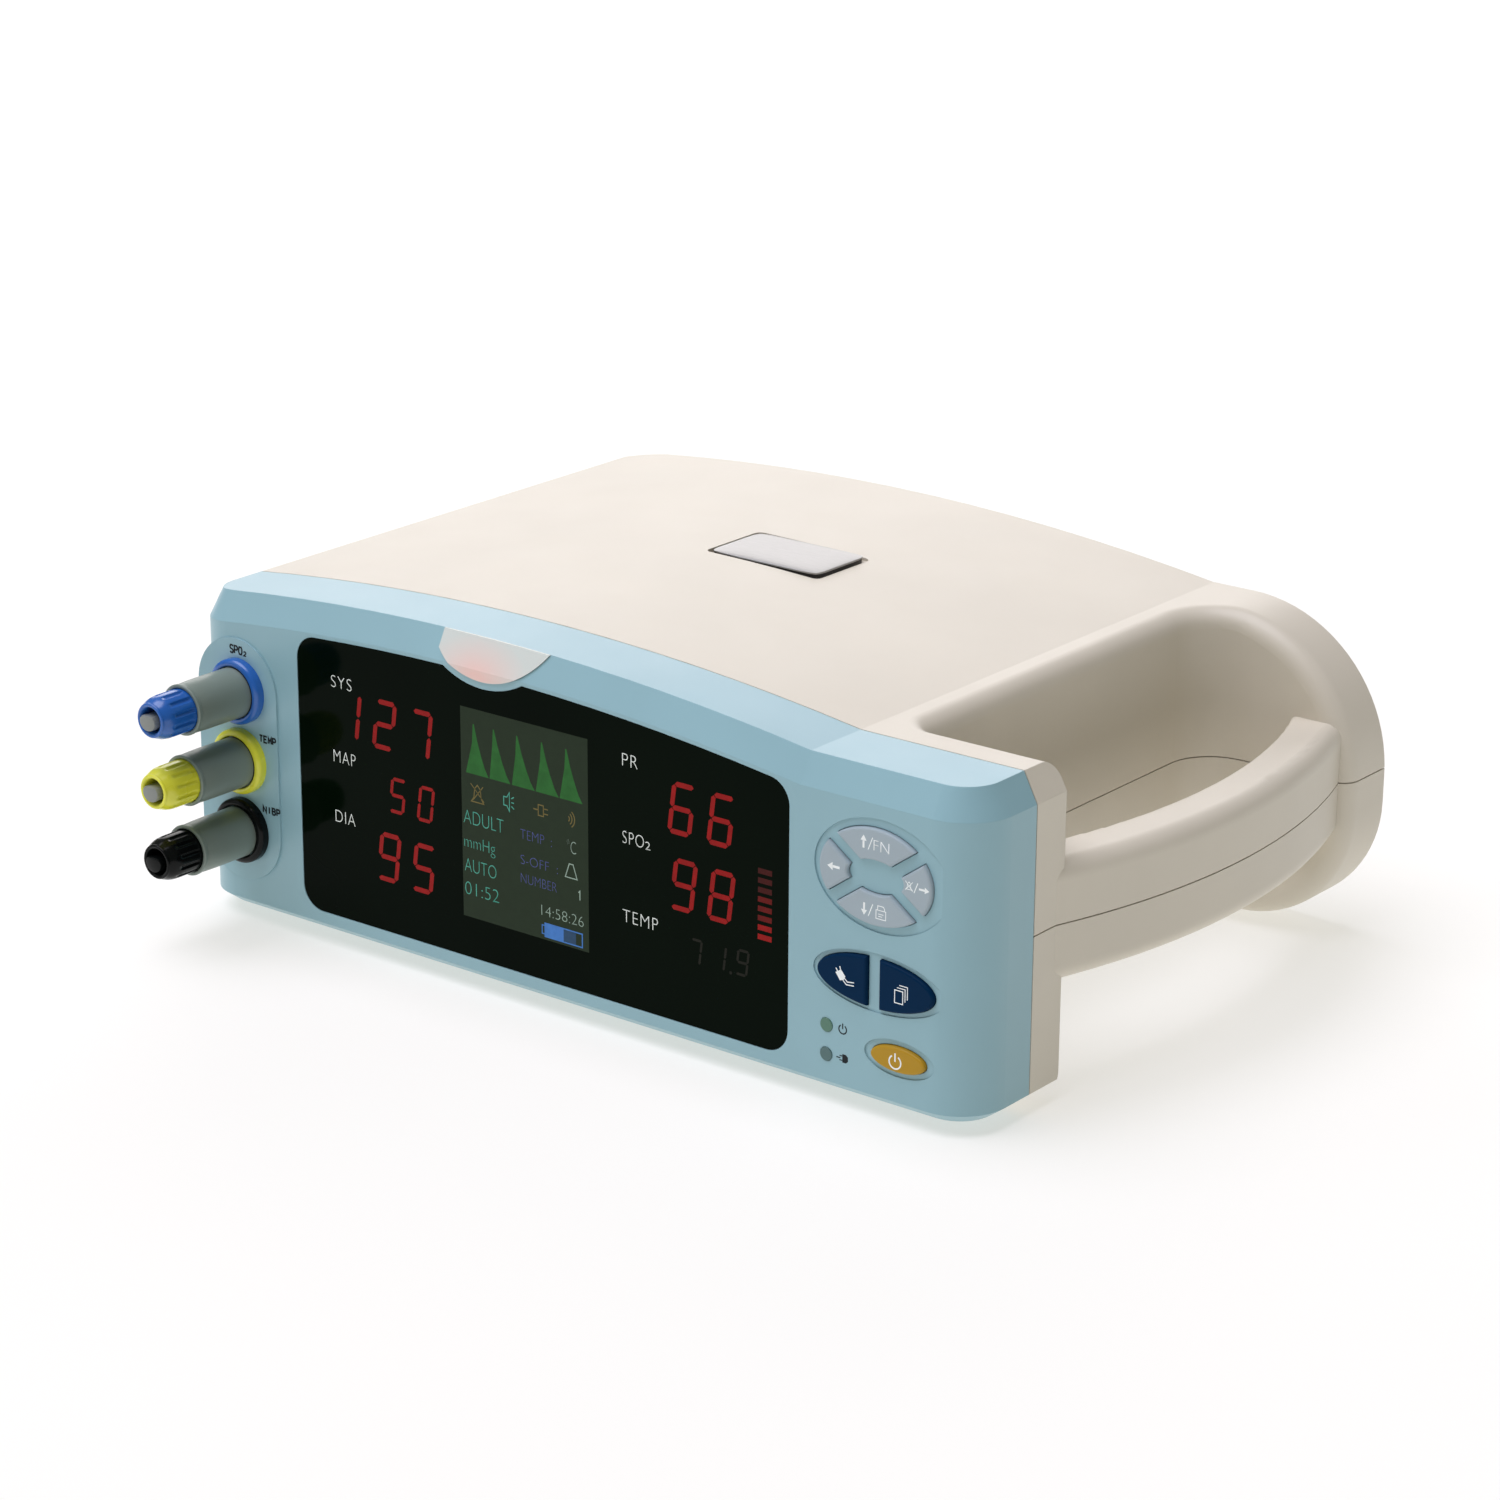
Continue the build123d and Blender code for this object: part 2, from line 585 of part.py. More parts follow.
def socket_nut(z):
    nut = rod_y(CONNECTOR_X, z, NUT_R, NUT_FRONT_Y, -PAD_PROUD)
    nut = fillet(nut.faces().sort_by(Axis.Y)[0].edges(), 1.6)
    nut -= rod_y(CONNECTOR_X, z, SOCKET_R, -10, 5)
    return nut - rod_y(CONNECTOR_X, z, SHELL_R + 0.35, -10, SOCKET_FRONT_Y)


def socket_body(z, pins):
    x = CONNECTOR_X
    body = rod_y(x, z, SOCKET_R, SOCKET_FRONT_Y, 16) + rod_y(x, z, 8.6, 4.2, 6.2)
    body -= rod_y(x, z, SOCKET_BORE_R, -10, 12.5)
    if not pins:
        body += rod_y(x, z, 3.4, 16, 18) + rod_y(x, z, 2.0, 16, 24)
        body -= rod_y(x, z, 1.2, 10, 30)
        return body
    for turn in range(4):
        px, pz = pin_place(x, z, turn)
        body += ring_y(px, pz, 0.95, 0.6, 9.0, 12.6)
        body += rod_y(px, pz, 0.5, 15.9, 19)
    return body


def pin_place(x, z, turn):
    angle = math.radians(45 + 90 * turn)
    return x + 2.6 * math.cos(angle), z + 2.6 * math.sin(angle)


def plug_core(z, pins):
    x = CONNECTOR_X
    core = rod_y(x, z, CORE_R, -14, 8)
    if not pins:
        return core - rod_y(x, z, 1.6, -15, 10)
    for turn in range(4):
        px, pz = pin_place(x, z, turn)
        core += rod_y(px, pz, 0.45, 7.9, 11)
    return core


def plug_shell(z):
    x = CONNECTOR_X
    shell = rod_y(x, z, SHELL_R, SHELL_END_Y, -3.2)
    shell = fillet(shell.faces().sort_by(Axis.Y)[0].edges(), 0.5)
    shell -= ring_y(x, z, SHELL_R + 1, SHELL_R - 0.25, -15.4, -15.0)
    shell -= rod_y(x, z, CORE_R, -14, 0)
    return shell - rod_y(x, z, COLLET_NUT_R - 0.5, -30, -14)


def collet_nut(z):
    x = CONNECTOR_X
    nut = rod_y(x, z, COLLET_NUT_R, COLLET_NUT_END_Y, SHELL_END_Y - 0.2)
    nut = chamfer(nut.faces().sort_by(Axis.Y)[0].edges(), 2.2, 1.5)
    for rib in range(RIBS):
        angle = 2 * math.pi * rib / RIBS
        gx = x + (COLLET_NUT_R + 0.15) * math.cos(angle)
        gz = z + (COLLET_NUT_R + 0.15) * math.sin(angle)
        nut -= rod_y(gx, gz, 0.7, COLLET_NUT_END_Y + 2.6, SHELL_END_Y + 1)
    nut += rod_y(x, z, COLLET_NUT_R - 0.55, SHELL_END_Y - 0.3, -17)
    return nut - rod_y(x, z, COLLET_R, -40, 0)


def plug_collet(z):
    collet = rod_y(CONNECTOR_X, z, COLLET_R, -PLUG_REACH, -15)
    return fillet(collet.faces().sort_by(Axis.Y)[0].edges(), 0.6)


# ---- electronics --------------------------------------------------------------------
def seven_segment_block(x, z, width, height):
    return block(x - width / 2, x + width / 2, 4.6, DISPLAY_BOARD_Y, z - height / 2, z + height / 2)


def digit_modules():
    large = (37.8, 19.0)
    small = (31.4, 13.4)
    places = [(73.5, 65.4, large), (78.0, 45.4, small), (73.5, 26.8, large),
              (177.0, 66.0, large), (177.0, 45.2, large), (184.5, 25.0, small)]
    return group([seven_segment_block(x, z, *size) for x, z, size in places])


def bar_graph():
    return block(200.9, 207.4, 4.6, DISPLAY_BOARD_Y, 35.0, 57.8)


def lcd_module():
    module = block(97.7, 149.0, 6.6, 10.4, 13.0, 81.0)
    return module - block(100.9, 145.8, 6.0, 6.9, 17.4, 77.0)


def display_board():
    board = block(47, 207.8, DISPLAY_BOARD_Y, DISPLAY_BOARD_Y + BOARD_THICK, 11, 82.5)
    board += block(60, 82, DISPLAY_BOARD_Y + BOARD_THICK, 18, 16, 21)
    return board


def key_board():
    board = block(216.5, 258.5, KEY_BOARD_Y, KEY_BOARD_Y + BOARD_THICK, 6, 82)
    for z in INDICATOR_Z.values():
        board += block(INDICATOR_X - 1.2, INDICATOR_X + 1.2, 8.2, KEY_BOARD_Y, z - 1.2, z + 1.2)
    return board


def key_switches():
    switches = []
    for x, z in SWITCH_PLACES:
        body = block(x - 3, x + 3, SWITCH_FRONT_Y + 0.6, KEY_BOARD_Y, z - 3, z + 3)
        switches.append(body + rod_y(x, z, 1.7, SWITCH_FRONT_Y, SWITCH_FRONT_Y + 0.7))
    return group(switches)


def alarm_light_board():
    board = block(92, 127, 8.4, 10.0, 84.5, 93.0)
    for x in (97, 103.5, 110, 116.5, 123):
        board += block(x - 1.6, x + 1.6, 7.0, 8.4, 87.4, 90.6)
    return board


def main_board():
    x0, x1, y0, y1 = MAIN_BOARD_BOX
    top = MAIN_BOARD_Z + BOARD_THICK
    board = block(x0, x1, y0, y1, MAIN_BOARD_Z, top)
    board += block(x0 + 16, x0 + 50, y0 + 24, y0 + 58, top, top + 4)
    board += block(x0 + 56, x0 + 78, y0 + 30, y0 + 52, top, top + 2)
    board += block(60, 82, y0 + 1, y0 + 6, top, top + 5)
    for i in range(4):
        board += rod_z(x0 + 18 + 14 * i, y0 + 72, 4, top, top + 9)
    for x, y in board_post_places()[:4]:
        board -= rod_z(x, y, 1.5, 0, 30)
    return board


def power_supply_board():
    x0, x1, y0, y1 = SUPPLY_BOARD_BOX
    top = MAIN_BOARD_Z + BOARD_THICK
    board = block(x0, x1, y0, y1, MAIN_BOARD_Z, top)
    board += block(x0 + 42, x0 + 68, y0 + 4, y0 + 26, top, top + 20)
    board += rod_z(x0 + 28, y0 + 14, 8, top, top + 22)
    board += block(x0 + 72, x0 + 76, y0 + 6, y0 + 30, top, top + 24)
    for x, y in board_post_places()[4:]:
        board -= rod_z(x, y, 1.5, 0, 30)
    return board


def display_ribbon():
    points = [(18, 18.6), (24, 18.6), (32, 17.2), (36, 17.2), (36, 16.2), (31.8, 16.2),
              (23.8, 17.6), (18, 17.6)]
    line = Polyline(*points, points[0])
    face = make_face(Plane.YZ * line)
    return Pos(62, 0, 0) * extrude(face, amount=18, dir=(1, 0, 0))


def mains_inlet():
    x0, x1, z0, z1 = INLET_BOX
    body = inlet_block(0) - block(x0 + 2.5, x1 - 2.5, 178, FAR, z0 + 2.5, z1 - 2.5)
    cx, cz = (x0 + x1) / 2, (z0 + z1) / 2
    for dx, dz in ((-6, -2.6), (6, -2.6), (0, 2.6)):
        body += block(cx + dx - 1, cx + dx + 1, 177.9, 188, cz + dz - 2, cz + dz + 2)
    return body


def data_port():
    x0, x1, z0, z1 = DATA_BOX
    body = data_block(0) - block(x0 + 2, x1 - 2, 181, FAR, z0 + 2, z1 - 2)
    for i in range(5):
        body += block(x0 + 3.7 + 2 * i, x0 + 4.3 + 2 * i, 180.9, 190, z1 - 3.2, z1 - 2)
    return body


def ground_terminal():
    x, z = GROUND_PLACE
    stud = rod_y(x, z, 2.0, GROUND_CUP_Y - 6, BODY_DEPTH - 0.5)
    inside_nut = rod_y(x, z, 4.0, GROUND_CUP_Y - 6, GROUND_CUP_Y - WALL)
    return stud + inside_nut + rod_y(x, z, 3.6, GROUND_CUP_Y, GROUND_CUP_Y + 2.5)


def speaker():
    cone = rod_x(SPEAKER_Y, SPEAKER_Z, 18.0, WALL, WALL + 3.5)
    cone -= rod_x(SPEAKER_Y, SPEAKER_Z, 14.0, WALL - 1, WALL + 2.0)
    return cone + rod_x(SPEAKER_Y, SPEAKER_Z, 10.0, WALL + 3.4, WALL + 8.0)


# ---- air system and battery -----------------------------------------------------------
HOSE_Z = CONNECTOR_LOW_Z
HOSE_REAR_Y = 134.0
HOSE_R = 3.0
PUMP_CENTRE = (152.0, 18.5)


def air_hose():
    route = FilletPolyline((CONNECTOR_X, 19, HOSE_Z), (CONNECTOR_X, HOSE_REAR_Y, HOSE_Z),
                           (131, HOSE_REAR_Y, HOSE_Z), radius=32)
    start = Plane(origin=route @ 0, z_dir=route % 0)
    solid = sweep(start * Circle(HOSE_R), path=route)
    bore = sweep(start * Circle(2.0), path=route)
    return solid - bore


def nibp_pump():
    x, z = PUMP_CENTRE
    pump = rod_y(x, z, 12.5, 149, 182) + block(138, 166, 129, 149, 6.5, 31)
    pump += rod_x(HOSE_REAR_Y, HOSE_Z, 2.0, 131, 138.5)
    return pump + rod_y(x, z, 3.0, 182, 185)


def pump_bracket():
    x, z = PUMP_CENTRE
    bracket = block(x - 17, x + 17, 158, 172, WALL, WALL + 2)
    bracket += block(x - 15, x + 15, 160, 170, WALL + 2, z)
    return bracket - rod_y(x, z, 12.5, 150, 180)


def nibp_valve():
    return block(166, 184, 131, 147, 8, 26) + rod_z(175, 139, 6, 26, 34)


def battery_pack():
    x0, x1, y0, y1 = BATTERY_OPENING
    pack = block(x0 + 3, x1 - 3, y0 + 7, y1 - 7, WALL + 3.2, 27)
    return fillet(pack.edges().filter_by(Axis.Y), 5)


def battery_cover():
    x0, x1, y0, y1 = BATTERY_OPENING
    gap = 0.25
    plate = block(x0 + gap, x1 - gap, y0 + gap, y1 - gap, 0.2, WALL)
    plate = fillet(plate.edges().filter_by(Axis.Z), 0.5)
    for y in (y0 + 4, y1 - 4):
        plate -= rod_z(155, y, 1.6, -1, WALL + 1)
        plate -= rod_z(155, y, 3.0, -1, 1.4)
    return plate


# ---- screws ---------------------------------------------------------------------------
def cover_screws():
    return group([rod_z(x, y, 3.2, 34, 36) + rod_z(x, y, 1.4, 36, 58) for x, y in POST_PLACES])


def bezel_screws():
    return group([rod_y(x, z, 3.0, SEAM_Y + 3, SEAM_Y + 5) + rod_y(x, z, 1.4, 11, SEAM_Y + 3)
                  for x, z in BEZEL_SCREW_PLACES])


def board_screws():
    top = MAIN_BOARD_Z + BOARD_THICK
    return group([rod_z(x, y, 2.6, top, top + 1.6) + rod_z(x, y, 1.2, 4.5, top)
                  for x, y in board_post_places()])


def battery_cover_screws():
    y0, y1 = BATTERY_OPENING[2:]
    return group([rod_z(155, y, 2.8, 0.3, 1.4) + rod_z(155, y, 1.2, 1.4, WALL + 2.8)
                  for y in (y0 + 4, y1 - 4)])


# ---- write every piece ------------------------------------------------------------------
def main():
    outer = outer_form()
    room, grip_room = inner_form()
    save("front_bezel", front_bezel(outer, room))
    save("top_cover", top_cover(outer, room, grip_room))
    save("bottom_cover", bottom_cover(outer, room, grip_room))
    save("badge_plate", badge_plate())
    save("rubber_feet", rubber_feet())
    save("display_window", display_window())
    save("alarm_lens", alarm_lens(outer))
    for name, face_at in KEY_FACES.items():
        save(name, key_cap(face_at))
    for name, z in INDICATOR_Z.items():
        save(name + "_indicator", indicator_lens(z))
    for index, name in enumerate(CONNECTORS):
        z = connector_z(index)
        pins = name != "nibp"
        save(name + "_socket_nut", socket_nut(z))
        save(name + "_socket_body", socket_body(z, pins))
        save(name + "_plug_core", plug_core(z, pins))
        save(name + "_plug_shell", plug_shell(z))
        save(name + "_collet_nut", collet_nut(z))
        save(name + "_plug_collet", plug_collet(z))
    save("display_board", display_board())
    save("digit_modules", digit_modules())
    save("bar_graph", bar_graph())
    save("lcd_module", lcd_module())
    save("key_board", key_board())
    save("key_switches", key_switches())
    save("alarm_light_board", alarm_light_board())
    save("main_board", main_board())
    save("power_supply_board", power_supply_board())
    save("display_ribbon", display_ribbon())
    save("mains_inlet", mains_inlet())
    save("data_port", data_port())
    save("ground_terminal", ground_terminal())
    save("speaker", speaker())
    save("air_hose", air_hose())
    save("nibp_pump", nibp_pump())
    save("pump_bracket", pump_bracket())
    save("nibp_valve", nibp_valve())
    save("battery_pack", battery_pack())
    save("battery_cover", battery_cover())
    save("battery_cover_screws", battery_cover_screws())
    save("cover_screws", cover_screws())
    save("bezel_screws", bezel_screws())
    save("board_screws", board_screws())


main()
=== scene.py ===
import bpy
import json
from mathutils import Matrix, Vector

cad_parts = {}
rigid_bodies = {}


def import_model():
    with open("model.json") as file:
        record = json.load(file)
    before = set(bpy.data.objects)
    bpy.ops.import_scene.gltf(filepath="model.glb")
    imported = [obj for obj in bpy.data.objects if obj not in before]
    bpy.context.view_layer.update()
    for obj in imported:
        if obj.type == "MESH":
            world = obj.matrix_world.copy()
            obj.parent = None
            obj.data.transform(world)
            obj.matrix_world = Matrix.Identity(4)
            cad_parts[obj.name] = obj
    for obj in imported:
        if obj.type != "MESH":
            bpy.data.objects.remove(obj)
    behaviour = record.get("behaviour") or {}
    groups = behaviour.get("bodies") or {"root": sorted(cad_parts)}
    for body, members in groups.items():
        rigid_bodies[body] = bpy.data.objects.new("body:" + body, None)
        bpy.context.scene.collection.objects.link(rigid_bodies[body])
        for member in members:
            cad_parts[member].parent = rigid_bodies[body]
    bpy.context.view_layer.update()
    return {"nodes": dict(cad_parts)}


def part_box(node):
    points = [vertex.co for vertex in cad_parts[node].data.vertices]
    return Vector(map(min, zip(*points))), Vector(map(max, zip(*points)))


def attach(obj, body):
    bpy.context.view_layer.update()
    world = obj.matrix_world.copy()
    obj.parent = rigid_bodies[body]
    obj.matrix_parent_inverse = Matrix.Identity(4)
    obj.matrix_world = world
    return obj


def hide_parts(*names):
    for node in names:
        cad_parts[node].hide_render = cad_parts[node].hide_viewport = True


for leftover in list(bpy.data.objects):
    bpy.data.objects.remove(leftover)
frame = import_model()

import json
import math

import bmesh
from mathutils import Matrix, Vector

NODES = frame["nodes"]
MM = 0.001
BEZEL_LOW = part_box("front_bezel")[0]
PAD_PROUD = 0.6          # the connector pad is the bezel's foremost face
INK_THICK = 0.02         # printing and lit marks
PAD_INK_THICK = 0.05     # bolder printing on the connector pad

# Faces that carry marks, in millimetres along Y
KEY_Y = -0.9             # key tops
PAD_Y = -PAD_PROUD       # connector pad
BEZEL_Y = 0.0            # flat part of the bezel
FACE_Y = 0.1             # display window
LCD_Y = FACE_Y - INK_THICK     # front of the lit panel


def at(x, y, z):
    """A place in millimetres from the body's lower front left corner, as a point in the frame."""
    return Vector((BEZEL_LOW[0] + x * MM,
                   BEZEL_LOW[1] + (y + PAD_PROUD) * MM,
                   BEZEL_LOW[2] + z * MM))


# ---- materials ----------------------------------------------------------------------
def new_material(name):
    mat = bpy.data.materials.new(name)
    mat.use_nodes = True
    tree = mat.node_tree
    return mat, tree, tree.nodes["Principled BSDF"]


def noise(tree, scale, detail=3.0, rough=0.5, stretch=None):
    """Noise laid out in object space, so that it stays on the piece."""
    coords = tree.nodes.new("ShaderNodeTexCoord")
    source = coords.outputs["Object"]
    if stretch:
        mapping = tree.nodes.new("ShaderNodeMapping")
        mapping.inputs["Scale"].default_value = stretch
        tree.links.new(source, mapping.inputs["Vector"])
        source = mapping.outputs["Vector"]
    node = tree.nodes.new("ShaderNodeTexNoise")
    node.inputs["Scale"].default_value = scale
    node.inputs["Detail"].default_value = detail
    node.inputs["Roughness"].default_value = rough
    tree.links.new(source, node.inputs["Vector"])
    return node.outputs["Fac"]


def ramp(tree, source, stops):
    """Colours laid over a 0 to 1 source: stops are (place, colour)."""
    node = tree.nodes.new("ShaderNodeValToRGB")
    elements = node.color_ramp.elements
    elements[0].position, elements[0].color = stops[0][0], (*stops[0][1], 1)
    elements[1].position, elements[1].color = stops[-1][0], (*stops[-1][1], 1)
    for place, colour in stops[1:-1]:
        elements.new(place).color = (*colour, 1)
    tree.links.new(source, node.inputs["Fac"])
    return node.outputs["Color"]


def spread(tree, source, low, high):
    """A 0 to 1 source stretched over the range low to high."""
    node = tree.nodes.new("ShaderNodeMapRange")
    node.inputs["To Min"].default_value = low
    node.inputs["To Max"].default_value = high
    tree.links.new(source, node.inputs["Value"])
    return node.outputs["Result"]


def shade(colour, factor):
    return tuple(min(1.0, c * factor) for c in colour)


def moulded(name, colour, rough=0.4, grain=0.02, grain_scale=2600, mottle=0.04, edge=0.35,
            coat=0.0, specular=0.5):
    """Moulded plastic: faint mottling, uneven gloss, a fine grain and softly broken edges."""
    mat, tree, shader = new_material(name)
    cloud = noise(tree, 28, 4.0)
    tint = ramp(tree, cloud, [(0.3, shade(colour, 1 - mottle)), (0.7, shade(colour, 1 + mottle))])
    tree.links.new(tint, shader.inputs["Base Color"])
    tree.links.new(spread(tree, noise(tree, 60, 3.0), rough - 0.05, rough + 0.06),
                   shader.inputs["Roughness"])
    shader.inputs["Specular IOR Level"].default_value = specular
    if coat:
        shader.inputs["Coat Weight"].default_value = coat
        shader.inputs["Coat Roughness"].default_value = 0.12
    bump = tree.nodes.new("ShaderNodeBump")
    bump.inputs["Strength"].default_value = grain * 10
    bump.inputs["Distance"].default_value = 0.00008
    tree.links.new(noise(tree, grain_scale, 2.0, 0.6), bump.inputs["Height"])
    if edge:
        rounded = tree.nodes.new("ShaderNodeBevel")
        rounded.samples = 4
        rounded.inputs["Radius"].default_value = edge * MM
        tree.links.new(rounded.outputs["Normal"], bump.inputs["Normal"])
    tree.links.new(bump.outputs["Normal"], shader.inputs["Normal"])
    return mat


def metal(name, colour, rough=0.3, scale=400, stretch=(1, 1, 12)):
    """Satin metal with fine scratches that run one way."""
    mat, tree, shader = new_material(name)
    lines = noise(tree, scale, 4.0, 0.7, stretch)
    tint = ramp(tree, lines, [(0.3, shade(colour, 0.86)), (0.7, shade(colour, 1.08))])
    tree.links.new(tint, shader.inputs["Base Color"])
    tree.links.new(spread(tree, lines, rough - 0.08, rough + 0.1), shader.inputs["Roughness"])
    shader.inputs["Metallic"].default_value = 1.0
    bump = tree.nodes.new("ShaderNodeBump")
    bump.inputs["Strength"].default_value = 0.15
    bump.inputs["Distance"].default_value = 0.00005
    tree.links.new(lines, bump.inputs["Height"])
    tree.links.new(bump.outputs["Normal"], shader.inputs["Normal"])
    return mat


def glowing(name, colour, strength, rough=0.25, flicker=0.12):
    """Lit or bright marking: a coloured face that also glows, a little unevenly. On lit displays
    the glow is their own light; on printed marks and unlit segments it is painted glow.
    """
    mat, tree, shader = new_material(name)
    cloud = noise(tree, 320, 2.0)
    tint = ramp(tree, cloud, [(0.3, shade(colour, 1 - flicker)), (0.7, shade(colour, 1 + flicker))])
    tree.links.new(tint, shader.inputs["Base Color"])
    tree.links.new(tint, shader.inputs["Emission Color"])
    shader.inputs["Emission Strength"].default_value = strength
    shader.inputs["Roughness"].default_value = rough
    shader.inputs["Specular IOR Level"].default_value = 0.12
    return mat


def printed(name, colour, rough=0.45):
    """Printing ink: slightly uneven coverage, no grain."""
    mat, tree, shader = new_material(name)
    cloud = noise(tree, 900, 3.0)
    tint = ramp(tree, cloud, [(0.3, shade(colour, 0.93)), (0.7, shade(colour, 1.0))])
    tree.links.new(tint, shader.inputs["Base Color"])
    tree.links.new(spread(tree, cloud, rough - 0.05, rough + 0.05), shader.inputs["Roughness"])
    shader.inputs["Specular IOR Level"].default_value = 0.3
    return mat


BLUE_BEZEL = (0.292, 0.495, 0.560)
CREAM = (0.700, 0.650, 0.545)
MATERIALS = {    # after a moulded colour: roughness, grain, its scale, mottling, edge, coat
    "bezel": moulded("bezel_plastic", BLUE_BEZEL, 0.36, 0.016, 3200, 0.025, 0.3, 0.1),
    "cover": moulded("cover_plastic", CREAM, 0.42, 0.022, 2600, 0.02, 0.35),
    "badge": metal("badge_metal", (0.43, 0.425, 0.425), 0.40, 260, (1, 9, 1)),
    "key_grey": moulded("key_grey", (0.390, 0.470, 0.520), 0.42, 0.02, 3600, 0.03, 0.15,
                        specular=0.3),
    "key_navy": moulded("key_navy", (0.0005, 0.022, 0.068), 0.40, 0.014, 3600, 0.05, 0.15,
                        specular=0.05),
    "key_orange": moulded("key_orange", (0.490, 0.280, 0.018), 0.40, 0.014, 3600, 0.04, 0.15,
                          specular=0.2),
    "shell_grey": moulded("plug_grey", (0.205, 0.255, 0.222), 0.36, 0.02, 3000, 0.05, 0.12),
    "collet_grey": moulded("collet_grey", (0.240, 0.255, 0.240), 0.34, 0.02, 3000, 0.05, 0.1),
    "socket_black": moulded("socket_black", (0.020, 0.021, 0.022), 0.38, 0.02, 3000, 0.05, 0.1),
    "spo2": moulded("blue_nut", (0.016, 0.125, 0.480), 0.24, 0.010, 3000, 0.05, 0.1, 0.3),
    "temp": moulded("yellow_nut", (0.800, 0.800, 0.050), 0.26, 0.010, 3000, 0.04, 0.1, 0.3),
    "nibp": moulded("black_nut", (0.003, 0.004, 0.004), 0.20, 0.010, 3000, 0.05, 0.1,
                    specular=0.16),
    "board": moulded("circuit_board", (0.030, 0.160, 0.070), 0.40, 0.03, 1800, 0.10, 0.0),
    "module": moulded("module_case", (0.030, 0.031, 0.033), 0.50, 0.02, 2600, 0.05, 0.1),
    "black": moulded("black_plastic", (0.016, 0.016, 0.017), 0.42, 0.03, 2400, 0.05, 0.2),
    "rubber": moulded("rubber_black", (0.018, 0.018, 0.018), 0.75, 0.06, 1500, 0.08, 0.4),
    "hose": moulded("hose_rubber", (0.560, 0.560, 0.540), 0.55, 0.03, 1500, 0.04, 0.0),
    "battery": moulded("battery_wrap", (0.035, 0.075, 0.230), 0.28, 0.01, 900, 0.05, 0.0),
    "steel": metal("steel", (0.54, 0.54, 0.55), 0.32),
    "brass": metal("contact_brass", (0.72, 0.52, 0.20), 0.26),
    "ribbon": moulded("ribbon_cable", (0.420, 0.420, 0.440), 0.45, 0.03, 1500, 0.05, 0.0),
    "ink_dark": printed("ink_dark", (0.006, 0.010, 0.014), 0.6),
    # key legends: white print with a faint painted glow
    "ink_white_painted_glow": glowing("ink_white_painted_glow", (0.86, 0.90, 0.90), 0.10, 0.5, 0.03),
    # window labels: printed, with a painted glow
    "ink_label_painted_glow": glowing("ink_label_painted_glow", (0.66, 0.70, 0.66), 0.25),
    "led_red": glowing("led_red", (0.22, 0.004, 0.004), 0.35),
    "led_red_mid": glowing("led_red_mid", (0.11, 0.004, 0.003), 0.20),
    "led_red_low": glowing("led_red_low", (0.050, 0.004, 0.003), 0.12),
    # unlit segments, with a faint painted glow
    "led_off_painted_glow": glowing("led_off_painted_glow", (0.008, 0.008, 0.004), 0.03),
    "lcd_face": glowing("lcd_face", (0.014, 0.026, 0.012), 0.12, 0.3, 0.05),
    "lcd_green": glowing("lcd_green", (0.016, 0.090, 0.018), 0.40),
    "lcd_teal": glowing("lcd_teal", (0.050, 0.230, 0.175), 0.60),
    "lcd_violet": glowing("lcd_violet", (0.050, 0.060, 0.170), 0.50),
    "lcd_brown": glowing("lcd_brown", (0.115, 0.090, 0.030), 0.45),
    "lcd_grey": glowing("lcd_grey", (0.180, 0.240, 0.200), 0.60),
    "lcd_blue": glowing("lcd_blue", (0.040, 0.130, 0.360), 0.50),
    "lcd_navy": glowing("lcd_navy", (0.022, 0.055, 0.110), 0.30),
    "indicator_green": moulded("indicator_green", (0.085, 0.200, 0.140), 0.28, 0.01, 2000, 0.04,
                               0.1),
    "indicator_grey": moulded("indicator_grey", (0.075, 0.155, 0.155), 0.28, 0.01, 2000, 0.04,
                              0.1),
}


def window_material():
    """Smoked acrylic: nearly black with a green cast, polished, very faintly uneven."""
    mat, tree, shader = new_material("window_plastic")
    cloud = noise(tree, 14, 3.0)
    tint = ramp(tree, cloud, [(0.35, (0.0006, 0.0030, 0.0010)), (0.7, (0.0014, 0.0048, 0.0018))])
    tree.links.new(tint, shader.inputs["Base Color"])
    tree.links.new(spread(tree, noise(tree, 90, 2.0), 0.05, 0.10), shader.inputs["Roughness"])
    shader.inputs["Specular IOR Level"].default_value = 0.03
    return mat


LENS_GLOW_X, LENS_GLOW_Z = 107.5, 87.5


def lens_material():
    """Milky translucent lens with a pinkish glow low in its middle."""
    mat, tree, shader = new_material("lens_plastic")
    coords = tree.nodes.new("ShaderNodeTexCoord")
    mapping = tree.nodes.new("ShaderNodeMapping")
    mapping.vector_type = "TEXTURE"
    mapping.inputs["Location"].default_value = at(LENS_GLOW_X, 0, LENS_GLOW_Z)
    mapping.inputs["Scale"].default_value = (0.018, 0.03, 0.0105)
    blob = tree.nodes.new("ShaderNodeTexGradient")
    blob.gradient_type = "SPHERICAL"
    tree.links.new(coords.outputs["Object"], mapping.inputs["Vector"])
    tree.links.new(mapping.outputs["Vector"], blob.inputs["Vector"])
    tint = ramp(tree, blob.outputs["Fac"],
                [(0.0, (0.62, 0.66, 0.63)), (0.4, (0.70, 0.62, 0.58)), (0.9, (0.80, 0.55, 0.50))])
    tree.links.new(tint, shader.inputs["Base Color"])
    tree.links.new(tint, shader.inputs["Emission Color"])
    shader.inputs["Emission Strength"].default_value = 0.10
    tree.links.new(spread(tree, noise(tree, 120, 2.0), 0.20, 0.28), shader.inputs["Roughness"])
    shader.inputs["Subsurface Weight"].default_value = 0.3
    shader.inputs["Subsurface Radius"].default_value = (0.004, 0.003, 0.003)
    return mat


MATERIALS["window"] = window_material()
MATERIALS["lens"] = lens_material()


def paint(node, key):
    """Gives a carried-over CAD node its material."""
    slots = NODES[node].data.materials
    slots.clear()
    slots.append(MATERIALS[key])


